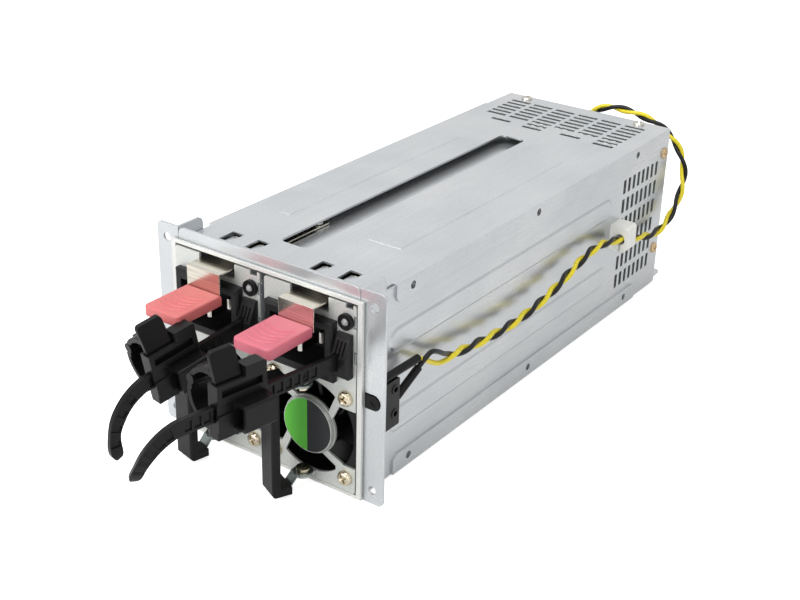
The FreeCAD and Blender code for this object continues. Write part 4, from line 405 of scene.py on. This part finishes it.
@dataclass
class CrossHeadScrew:
    """A pan head screw with a cross recess, its head on top of z = 0."""

    head_r: float
    head_h: float
    cross_r: float
    blade: float
    depth: float
    crown_margin: float = 0.35
    pit_taper: float = 0.55
    segments: int = 28

    def build(self) -> bpy.types.Mesh:
        """Model the head with the recess sunk in its crown.

        Returns:
            The head's mesh, standing on z = 0 and facing up.
        """
        bm = bmesh.new()
        crown = self.cross_r + self.crown_margin
        bmesh.ops.create_circle(bm, segments=self.segments, radius=crown * MM,
                                matrix=Matrix.Translation((0, 0, self.head_h * MM)))
        rim = list(bm.edges)
        half = self.blade / 2
        corners = []
        for quarter in range(4):
            turn = Matrix.Rotation(math.radians(90 * quarter), 3, "Z")
            for x, y in ((self.cross_r, -half), (self.cross_r, half), (half, half)):
                corners.append(bm.verts.new(turn @ Vector((x, y, self.head_h)) * MM))
        cross = [bm.edges.new(pair) for pair in zip(corners, corners[1:] + corners[:1])]
        bmesh.ops.triangle_fill(bm, use_beauty=True, edges=rim + cross)
        pit = [face for face in bm.faces if all(vert in corners for vert in face.verts)]
        bmesh.ops.delete(bm, geom=pit, context="FACES_ONLY")
        walls = bmesh.ops.extrude_edge_only(bm, edges=cross)
        low = [item for item in walls["geom"] if isinstance(item, bmesh.types.BMVert)]
        floor_edges = [item for item in walls["geom"]
                       if isinstance(item, bmesh.types.BMEdge) and all(vert in low for vert in item.verts)]
        bmesh.ops.scale(bm, vec=(self.pit_taper, self.pit_taper, 1), verts=low)
        bmesh.ops.translate(bm, vec=(0, 0, -self.depth * MM), verts=low)
        bmesh.ops.triangle_fill(bm, use_beauty=True, edges=floor_edges)
        # the round shoulder of the pan head, down to the sheet
        ring = rim
        for radius, height in ((self.head_r * 0.86, self.head_h * 0.86), (self.head_r, self.head_h * 0.45),
                               (self.head_r, 0.0)):
            grown = bmesh.ops.extrude_edge_only(bm, edges=ring)
            fresh = [item for item in grown["geom"] if isinstance(item, bmesh.types.BMVert)]
            ring = [item for item in grown["geom"]
                    if isinstance(item, bmesh.types.BMEdge) and all(vert in fresh for vert in item.verts)]
            now = fresh[0].co.xy.length
            bmesh.ops.scale(bm, vec=(radius * MM / now, radius * MM / now, 1), verts=fresh)
            bmesh.ops.translate(bm, vec=(0, 0, height * MM - fresh[0].co.z), verts=fresh)
        bmesh.ops.contextual_create(bm, geom=ring)
        bmesh.ops.recalc_face_normals(bm, faces=bm.faces)
        mesh = bpy.data.meshes.new("cross_head")
        bm.to_mesh(mesh)
        bm.free()
        return mesh


def scatter(mesh: bpy.types.Mesh, places: list[Matrix], kinds: list[int] | None = None) -> bmesh.types.BMesh:
    """Gather copies of one mesh at several places.

    Args:
        mesh: the mesh to copy.
        places: where each copy goes.
        kinds: the number of each copy's finish, all 0 if left out.

    Returns:
        One bmesh with all the copies.
    """
    bm = bmesh.new()
    for place, kind in zip(places, kinds or [0] * len(places)):
        copy = mesh.copy()
        copy.transform(place)
        copy.polygons.foreach_set("material_index", [kind] * len(copy.polygons))
        bm.from_mesh(copy)
        bpy.data.meshes.remove(copy)
    return bm


def dress_node(name: str, finish: Finish) -> None:
    """Give a CAD node its finish.

    Args:
        name: the node's name.
        finish: the finish of its whole surface.
    """
    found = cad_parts[name]
    found.data.materials.clear()
    found.data.materials.append(finish.material())


@dataclass
class Studio:
    """The camera at the photograph's viewpoint, a pale floor, soft lamps and a plain white surround."""

    eye: tuple[float, float, float] = (0.28130, -0.31830, 0.23020)
    forward: tuple[float, float, float] = (-0.5184, 0.7356, -0.4361)
    right: tuple[float, float, float] = (0.8106, 0.5851, 0.0235)
    focal_px: float = 1350.1
    photo_px: int = 800
    sensor_mm: float = 36.0
    floor_z: float = -0.0412
    floor_glow: float = 0.72
    mirrored_glow: float = 0.1
    world_glow: float = 0.48

    def build(self) -> None:
        """Set up camera, floor, lamps and world."""
        self.place_camera()
        self.lay_floor()
        self.light()
        self.surround()

    def place_camera(self) -> None:
        """Aim the camera as the photograph was taken."""
        look, side = Vector(self.forward).normalized(), Vector(self.right).normalized()
        up = side.cross(look).normalized()
        side = look.cross(up)
        camera = bpy.data.cameras.new("camera")
        camera.sensor_width = self.sensor_mm
        camera.lens = self.focal_px * self.sensor_mm / self.photo_px
        camera.clip_start, camera.clip_end = 0.01, 20.0
        holder = bpy.data.objects.new("camera", camera)
        turn = Matrix((side, up, -look)).transposed().to_4x4()
        holder.matrix_world = Matrix.Translation(self.eye) @ turn
        bpy.context.scene.collection.objects.link(holder)
        bpy.context.scene.camera = holder

    def lay_floor(self) -> None:
        """Lay a wide pale floor under the cage, white where the camera sees it."""
        bm = bmesh.new()
        bmesh.ops.create_grid(bm, x_segments=2, y_segments=2, size=4.0,
                              matrix=Matrix.Translation((0, 0.1, self.floor_z)))
        mesh = bpy.data.meshes.new("floor")
        bm.to_mesh(mesh)
        bm.free()
        paper = bpy.data.materials.new("white_paper_floor")
        paper.use_nodes = True
        tree = paper.node_tree
        shader = tree.nodes["Principled BSDF"]
        shader.inputs["Base Color"].default_value = linear("#F4F4F4")
        shader.inputs["Roughness"].default_value = 0.9
        shader.inputs["Specular IOR Level"].default_value = 0.1
        path = add(tree, "LightPath")
        faint = add(tree, "Math", {0: path.outputs["Is Glossy Ray"], 1: self.mirrored_glow},
                    operation="MULTIPLY")
        strength = add(tree, "Math", {0: path.outputs["Is Camera Ray"], 1: self.floor_glow,
                                      2: faint.outputs[0]}, operation="MULTIPLY_ADD")
        glow = add(tree, "Emission", {"Color": (1, 1, 1, 1), "Strength": strength.outputs[0]})
        seen = add(tree, "Math", {0: path.outputs["Is Camera Ray"], 1: path.outputs["Is Glossy Ray"]},
                   operation="MAXIMUM")
        lit = add(tree, "AddShader", {0: shader.outputs[0], 1: glow.outputs[0]})
        mixed = add(tree, "MixShader", {0: seen.outputs[0], 1: shader.outputs[0], 2: lit.outputs[0]})
        tree.links.new(mixed.outputs[0], tree.nodes["Material Output"].inputs["Surface"])
        mesh.materials.append(paper)
        floor = bpy.data.objects.new("floor", mesh)
        bpy.context.scene.collection.objects.link(floor)

    def light(self) -> None:
        """Hang three soft lamps: over the top, from the front left and from the right."""
        for name, place, aim, size, power in (
            ("overhead_lamp", (-0.05, -0.08, 0.8), (0, 0.03, 0), 0.8, 4.6),
            ("front_lamp", (-0.25, -1.0, 0.3), (0, 0, 0), 0.9, 8.0),
            ("side_lamp", (1.0, -0.7, 0.4), (0, 0.0, 0), 0.9, 2.0),
        ):
            lamp = bpy.data.lights.new(name, "AREA")
            lamp.shape, lamp.size, lamp.energy = "DISK", size, power
            holder = bpy.data.objects.new(name, lamp)
            holder.location = place
            holder.rotation_euler = (Vector(aim) - Vector(place)).to_track_quat("-Z", "Y").to_euler()
            bpy.context.scene.collection.objects.link(holder)

    def surround(self) -> None:
        """Make the surround soft grey light, and white to the eye and in reflections."""
        world = bpy.data.worlds.new("surround")
        bpy.context.scene.world = world
        world.use_nodes = True
        tree = world.node_tree
        plain = tree.nodes["Background"]
        plain.inputs["Color"].default_value = (1, 1, 1, 1)
        plain.inputs["Strength"].default_value = self.world_glow
        white = add(tree, "Background", {"Color": (1, 1, 1, 1), "Strength": 1.0})
        # metal sees the white surround above and a greyer one towards the horizon
        height = add(tree, "SeparateXYZ", {0: add(tree, "TexCoord").outputs["Generated"]})
        rise = add(tree, "MapRange", {"Value": height.outputs["Z"], "From Min": 0.0, "From Max": 0.4,
                                      "To Min": 0.6, "To Max": 1.0})
        above = add(tree, "Background", {"Color": (1, 1, 1, 1), "Strength": rise.outputs[0]})
        path = add(tree, "LightPath")
        clear = add(tree, "Math", {0: path.outputs["Is Camera Ray"], 1: path.outputs["Is Transmission Ray"]},
                    operation="MAXIMUM")
        lit = add(tree, "MixShader", {0: path.outputs["Is Glossy Ray"], 1: plain.outputs[0],
                                      2: above.outputs[0]})
        mixed = add(tree, "MixShader", {0: clear.outputs[0], 1: lit.outputs[0], 2: white.outputs[0]})
        tree.links.new(mixed.outputs[0], tree.nodes["World Output"].inputs["Surface"])


@dataclass
class AlarmPair:
    """The twisted pair of the reset switch: a yellow and a black wire laid round each other."""

    route: tuple[tuple[float, float, float], ...] = (
        (47.8, 27.0, 4.4), (48.2, 34.5, 4.3), (48.0, 44.0, -0.6), (47.9, 58.0, -2.6), (48.2, 80.0, -4.8),
        (48.2, 102.0, -4.8), (47.9, 122.0, -2.2), (47.5, 139.0, 1.8), (47.3, 153.0, 4.2),
        (47.3, 166.0, 3.4), (47.3, 199.0, -5.4), (47.4, 213.0, -9.2), (47.7, 226.0, -7.0),
        (47.9, 235.8, 1.6), (47.9, 239.6, 11.6), (44.0, 242.0, 21.8), (35.6, 243.2, 29.8),
        (25.0, 243.7, 34.0), (7.0, 243.8, 36.2), (-3.7, 243.8, 32.4), (-11.6, 243.4, 24.4),
        (-14.8, 241.0, 13.6), (-15.0, 233.6, 4.6), (-15.0, 223.4, 0.4), (-15.0, 211.0, -0.4),
    )
    # each wire's own way from its sleeve to where the twist takes hold, the yellow one first
    leads: tuple[tuple[tuple[float, float, float], ...], ...] = (
        ((47.3, 25.4, 6.3), (47.2, 28.6, 4.8), (47.2, 33.4, 1.4), (47.4, 39.0, -1.6), (48.0, 44.6, -2.4),
         (48.6, 50.6, -1.0)),
        ((47.3, 25.8, 2.4), (48.7, 28.4, 5.9), (49.0, 31.6, 7.3), (49.0, 37.0, 4.6), (48.6, 41.6, 0.8),
         (48.0, 50.6, -2.2)),
    )
    wire_r: float = 0.95
    twist_mm: float = 22.0
    front_mm: float = 20.0
    held_mm: tuple[float, float] = (13.0, 22.0)
    sides: int = 12

    def build(self) -> None:
        """Model both wires as one piece along the route."""
        line = self.smooth_line(self.route)
        bm = bmesh.new()
        for number, lead in enumerate(self.leads):
            self.sweep(bm, self.wire_line(line, self.smooth_line(lead), number), number)
        piece = settle(bm, "twisted_pair", "cage", (YELLOW_WIRE, BLACK_WIRE), 60)
        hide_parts("alarm_cord")

    def smooth_line(self, route: tuple[tuple[float, float, float], ...]) -> list[Vector]:
        """Read a smooth line from a NURBS spline with the route as its control points.

        Args:
            route: control points in millimetres.

        Returns:
            Points along the line, in metres.
        """
        curve = bpy.data.curves.new("route", "CURVE")
        curve.dimensions = "3D"
        spline = curve.splines.new("NURBS")
        spline.points.add(len(route) - 1)
        for point, place in zip(spline.points, route):
            point.co = (*(part * MM for part in place), 1.0)
        spline.order_u = 3
        spline.use_endpoint_u = True
        spline.resolution_u = 12
        holder = bpy.data.objects.new("route", curve)
        mesh = bpy.data.meshes.new_from_object(holder)
        line = [vert.co.copy() for vert in mesh.vertices]
        bpy.data.meshes.remove(mesh)
        bpy.data.objects.remove(holder)
        bpy.data.curves.remove(curve)
        return line

    def wire_line(self, line: list[Vector], lead: list[Vector], number: int) -> list[Vector]:
        """Lay one wire: along its lead out of the sleeve, then round the pair's line.

        Args:
            line: the smooth line between the wires.
            lead: the wire's own smooth line at its start.
            number: 0 for the yellow wire, 1 for the black one.

        Returns:
            The wire's points, in metres.
        """
        across, walked, previous, points = Vector((0, 0, 1)), 0.0, line[0], []
        for place, point in enumerate(line):
            ahead = (line[min(place + 1, len(line) - 1)] - line[max(place - 1, 0)]).normalized()
            across = (across - ahead * across.dot(ahead)).normalized()
            walked += (point - previous).length / MM
            previous = point
            turn = math.pi / 2 - math.tau * (walked - self.front_mm) / self.twist_mm + math.pi * number
            laid = point + Matrix.Rotation(turn, 3, ahead) @ across * self.wire_r * MM
            share = min(max((walked - self.held_mm[0]) / (self.held_mm[1] - self.held_mm[0]), 0), 1)
            share = share * share * (3 - 2 * share)
            free = lead[min(round(walked / self.held_mm[1] * (len(lead) - 1)), len(lead) - 1)]
            points.append(free.lerp(laid, share))
        return points

    def sweep(self, bm: bmesh.types.BMesh, points: list[Vector], number: int) -> None:
        """Sweep a wire's round section along its points.

        Args:
            bm: the mesh to add to.
            points: the wire's middle, in metres.
            number: the number of the wire's finish.
        """
        across, old_ring, made = Vector((1, 0, 0)), [], []
        for place, point in enumerate(points):
            ahead = (points[min(place + 1, len(points) - 1)] - points[max(place - 1, 0)]).normalized()
            across = (across - ahead * across.dot(ahead)).normalized()
            section = Matrix((across, ahead.cross(across), ahead)).transposed().to_4x4()
            ring = bmesh.ops.create_circle(bm, segments=self.sides, radius=self.wire_r * MM,
                                           matrix=Matrix.Translation(point) @ section)
            edges = list({edge for vert in ring["verts"] for edge in vert.link_edges})
            if old_ring:
                made += bmesh.ops.bridge_loops(bm, edges=old_ring + edges)["faces"]
            if place in (0, len(points) - 1):
                made += bmesh.ops.contextual_create(bm, geom=edges)["faces"]
            old_ring = edges
        for face in made:
            face.material_index = number
        bmesh.ops.recalc_face_normals(bm, faces=made)


@dataclass
class Cage:
    """The sheet steel cage and what is fixed on it."""

    screw_r: float = 2.6
    screw_h: float = 1.1
    top_screw_x: float = 29.7
    top_screw_shift: float = -1.3
    top_screw_turn: float = 0.4
    screw_y: float = 226.0
    screw_z: tuple[float, float] = (25.5, -21.2)
    wall_x: float = 42.3
    top_z: float = 36.2

    def build(self) -> None:
        """Dress the cage's own nodes and add the rear screws."""
        for name in ("cage_side_left", "cage_side_right", "cage_top_cover", "cage_bottom_cover",
                     "cage_rear_panel", "bay_divider"):
            dress_node(name, ZINC_SHEET)
        for name, finish in (
            ("front_frame_ring", FRAME_PAINTED_HIGHLIGHT), ("outlet_bushing", BLACK_NYLON),
            ("backplane_board", CIRCUIT_BOARD), ("backplane_sockets", DARK_MOULDING),
            ("alarm_switch", DARK_MOULDING), ("alarm_button", BLACK_NYLON),
            ("switch_sleeves", SHRINK_SLEEVE), ("cable_clip", WHITE_NYLON),
        ):
            dress_node(name, finish)
        self.add_screws()

    def add_screws(self) -> None:
        """Set cross head screws in the rear corners of the cover and the sides."""
        head = CrossHeadScrew(self.screw_r, self.screw_h, cross_r=1.5, blade=0.6, depth=0.8).build()
        places = []
        for sign in (-1, 1):
            spot = Vector((sign * self.top_screw_x + self.top_screw_shift, self.screw_y, self.top_z))
            places.append(Matrix.Translation(spot * MM) @ Matrix.Rotation(self.top_screw_turn * sign, 4, "Z"))
        for sign in (-1, 1):
            for z in self.screw_z:
                turn = Matrix.Rotation(sign * math.pi / 2, 4, "Y")
                places.append(Matrix.Translation(Vector((sign * self.wall_x, self.screw_y, z)) * MM) @ turn)
        # the two on the cover are bright zinc, the four on the sides yellow
        kinds = [0, 0] + [1] * (len(places) - 2)
        piece = settle(scatter(head, places, kinds), "rear_screws", "cage",
                       (ZINC_SCREW, GILT_SCREW))
        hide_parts("cage_screws")


@dataclass
class LatchTab:
    """The red touch point of a latch: a block with eased edges and curved finger ridges on its top."""

    centre_x: float
    low: float
    width: float = 16.3
    front: float = -30.8
    rear: float = -9.2
    thick: float = 4.3
    corner_r: float = 1.8
    edge_r: float = 0.75
    ridge_r: float = 8.9
    ridge_deg: float = 82.0
    ridge_first: float = -17.4
    ridge_pitch: float = 2.55
    ridge_rows: int = 5
    ridge_half: float = 0.45
    ridge_high: float = 0.36
    ridge_sink: float = 0.04
    ridge_points: int = 7
    ridge_steps: int = 18

    def build(self) -> bmesh.types.BMesh:
        """Model the tab.

        Returns:
            Its mesh in the object's frame.
        """
        bm = bmesh.new()
        middle = Vector((self.centre_x, (self.front + self.rear) / 2, self.low + self.thick / 2)) * MM
        size = Vector((self.width, self.rear - self.front, self.thick)) * MM
        bmesh.ops.create_cube(bm, size=1.0,
                              matrix=Matrix.Translation(middle) @ Matrix.Diagonal((*size, 1.0)))
        upright = [edge for edge in bm.edges
                   if abs(edge.verts[0].co.z - edge.verts[1].co.z) > MM and edge.verts[0].co.y < middle.y]
        bmesh.ops.bevel(bm, geom=upright, offset=self.corner_r * MM, segments=6, affect="EDGES", profile=0.5,
                        material=-1)
        rims = [edge for edge in bm.edges if abs(edge.verts[0].co.z - edge.verts[1].co.z) < 1e-6]
        bmesh.ops.bevel(bm, geom=rims, offset=self.edge_r * MM, segments=4, affect="EDGES", profile=0.5,
                        material=-1)
        for row in range(self.ridge_rows):
            self.add_ridge(bm, self.ridge_first - row * self.ridge_pitch)
        return bm

    def add_ridge(self, bm: bmesh.types.BMesh, reach: float) -> None:
        """Raise one curved ridge, open to the rear.

        Args:
            bm: the mesh to add to.
            reach: how far to the front the ridge comes, on Y.
        """
        before = set(bm.faces)
        axis = Vector((self.centre_x, reach + self.ridge_r, self.low + self.thick))
        section = []
        for step in range(self.ridge_points):
            bend = math.pi * step / (self.ridge_points - 1)
            ahead = reach - self.ridge_half * math.cos(bend)
            rise = axis.z - self.ridge_sink + self.ridge_high * math.sin(bend)
            section.append(bm.verts.new(Vector((axis.x, ahead, rise)) * MM))
        profile = [bm.edges.new(pair) for pair in zip(section, section[1:] + section[:1])]
        half = math.radians(self.ridge_deg / 2)
        bmesh.ops.rotate(bm, verts=section, cent=axis * MM, matrix=Matrix.Rotation(-half, 3, "Z"))
        spun = bmesh.ops.spin(bm, geom=section + profile, cent=axis * MM, axis=(0, 0, 1), angle=2 * half,
                              steps=self.ridge_steps)
        bmesh.ops.contextual_create(bm, geom=profile)
        bmesh.ops.contextual_create(bm, geom=[item for item in spun["geom_last"]
                                              if isinstance(item, bmesh.types.BMEdge)])
        bmesh.ops.recalc_face_normals(bm, faces=[face for face in bm.faces if face not in before])


@dataclass
class PowerModule:
    """One plug-in power module and the pieces on its face."""

    side: Side
    pitch: float = 42.0
    front_y: float = -2.0
    fan_z: float = -17.0
    fan_hole: float = 16.0
    barb_x: tuple[float, float] = (-7.0, 5.3)
    barb_shift: float = 0.55
    barb_y: tuple[float, float] = (10.4, 16.2)
    barb_wide: float = 3.9
    barb_z: tuple[float, float] = (34.2, 35.1)
    barb_corner: float = 1.6
    barb_edge: float = 0.12
    label_r: float = 10.35
    label_seat: float = -3.4
    label_sink: float = 0.02
    label_thick: float = 0.18
    label_edge: float = 0.12
    label_bevel: float = 0.08

    @property
    def centre_x(self) -> float:
        """The module's middle plane in millimetres."""
        return self.side.value * self.pitch / 2

    def node(self, name: str) -> str:
        """The full name of one of this module's nodes."""
        return f"{self.side.label}_{name}"

    def build(self) -> None:
        """Dress the module's nodes and add its detailed pieces."""
        for name, finish in (
            ("front_panel", GRAINED_PANEL), ("case", ZINC_SHEET), ("case_cover", ZINC_SHEET),
            ("fan_frame", FAN_PLASTIC), ("fan_rotor", FAN_PLASTIC), ("ac_inlet", DARK_MOULDING),
            ("inlet_pins", CONTACT), ("light_ring", BLACK_NYLON), ("light_lens", LENS),
            ("latch_spring", SPRING_STEEL), ("handle_grip", BLACK_NYLON),
            ("handle_brackets", BAIL_STEEL), ("handle_pivots", NICKEL_SCREW), ("strap", BLACK_NYLON),
            ("strap_anchor", BLACK_NYLON), ("clamp_body", BLACK_NYLON), ("clamp_flap", BLACK_NYLON),
            ("clamp_lever", BLACK_NYLON), ("main_board", CIRCUIT_BOARD), ("capacitors", CAPACITOR_FILM),
        ):
            dress_node(self.node(name), finish)
        self.add_fan_screws()
        self.add_label()
        self.add_tab()
        self.add_barbs()

    def add_fan_screws(self) -> None:
        """Set four nickel plated screws round the fan."""
        head = CrossHeadScrew(head_r=2.9, head_h=1.9, cross_r=1.7, blade=0.8, depth=1.2).build()
        places = []
        for across in (-1, 1):
            for up in (-1, 1):
                spot = Vector((self.centre_x + across * self.fan_hole, self.front_y,
                               self.fan_z + up * self.fan_hole))
                # each screw stops at its own angle
                spin = Matrix.Rotation(math.radians(20 + 31 * across + 17 * up), 4, "Z")
                places.append(Matrix.Translation(spot * MM) @ Matrix.Rotation(math.pi / 2, 4, "X") @ spin)
        piece = settle(scatter(head, places), self.node("cross_head_screws"), f"{self.side.label}_module",
                       (NICKEL_SCREW,))
        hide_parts(self.node("fan_screws"))

    def add_barbs(self) -> None:
        """Set the latch spring's two bent-up barbs close under the cover's windows."""
        bm = bmesh.new()
        front, rear = self.barb_y
        low, high = self.barb_z
        for shift in self.barb_x:
            middle = Vector((self.centre_x + shift + self.barb_shift, (front + rear) / 2, (low + high) / 2))
            size = (self.barb_wide * MM, (rear - front) * MM, (high - low) * MM, 1.0)
            made = bmesh.ops.create_cube(bm, size=1.0,
                                         matrix=Matrix.Translation(middle * MM) @ Matrix.Diagonal(size))
            corner = [edge for edge in {edge for vert in made["verts"] for edge in vert.link_edges}
                      if all(vert.co.y > middle.y * MM and vert.co.x > middle.x * MM for vert in edge.verts)]
            bmesh.ops.bevel(bm, geom=corner, offset=self.barb_corner * MM, segments=1, affect="EDGES",
                            profile=0.5, material=-1)
        rims = [edge for edge in bm.edges if edge.calc_face_angle(0.0) > math.radians(40)]
        bmesh.ops.bevel(bm, geom=rims, offset=self.barb_edge * MM, segments=2, affect="EDGES", profile=0.5,
                        material=-1)
        settle(bm, self.node("latch_barbs"), f"{self.side.label}_latch", (ZINC_SHEET,))

    def add_tab(self) -> None:
        """Fit the red tab on the latch spring's foot."""
        # the tabs sit a little to the middle on their feet, and the left one lower
        plastic, shift, low = (CORAL_TAB, 0.4, 21.3) if self.side is Side.LEFT else (ROSE_TAB, -1.0, 22.0)
        piece = settle(LatchTab(self.centre_x + shift, low).build(), self.node("touch_tab"),
                       f"{self.side.label}_latch", (plastic,), 50)
        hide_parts(self.node("latch_tab"))

    def add_label(self) -> None:
        """Stick the bare two-colour label on the grille's disc."""
        bm = bmesh.new()
        face = self.label_seat - self.label_sink
        turned(bm, [(0, 0), (self.label_r, 0), (self.label_r, self.label_edge),
                    (self.label_r - self.label_bevel, self.label_thick), (0, self.label_thick)], 64)
        place = Matrix.Translation(Vector((self.centre_x, face, self.fan_z)) * MM)
        bmesh.ops.transform(bm, matrix=place @ Matrix.Rotation(math.pi / 2, 4, "X"), verts=bm.verts)
        film = TwoColourLabel(self.node("two_colour_label_film"), Tint.GREEN.value, 0.35, shine=0.2,
                              split=self.centre_x * MM)
        settle(bm, self.node("fan_label"), f"{self.side.label}_module", (film,))


def main() -> None:
    """Build the studio, then the object from its cords to its modules."""
    logging.basicConfig(level=logging.INFO)
    bpy.context.scene.view_settings.view_transform = "Standard"
    Studio().build()
    AlarmPair().build()
    Cage().build()
    for side in Side:
        PowerModule(side).build()


if __name__ == "__main__":
    main()
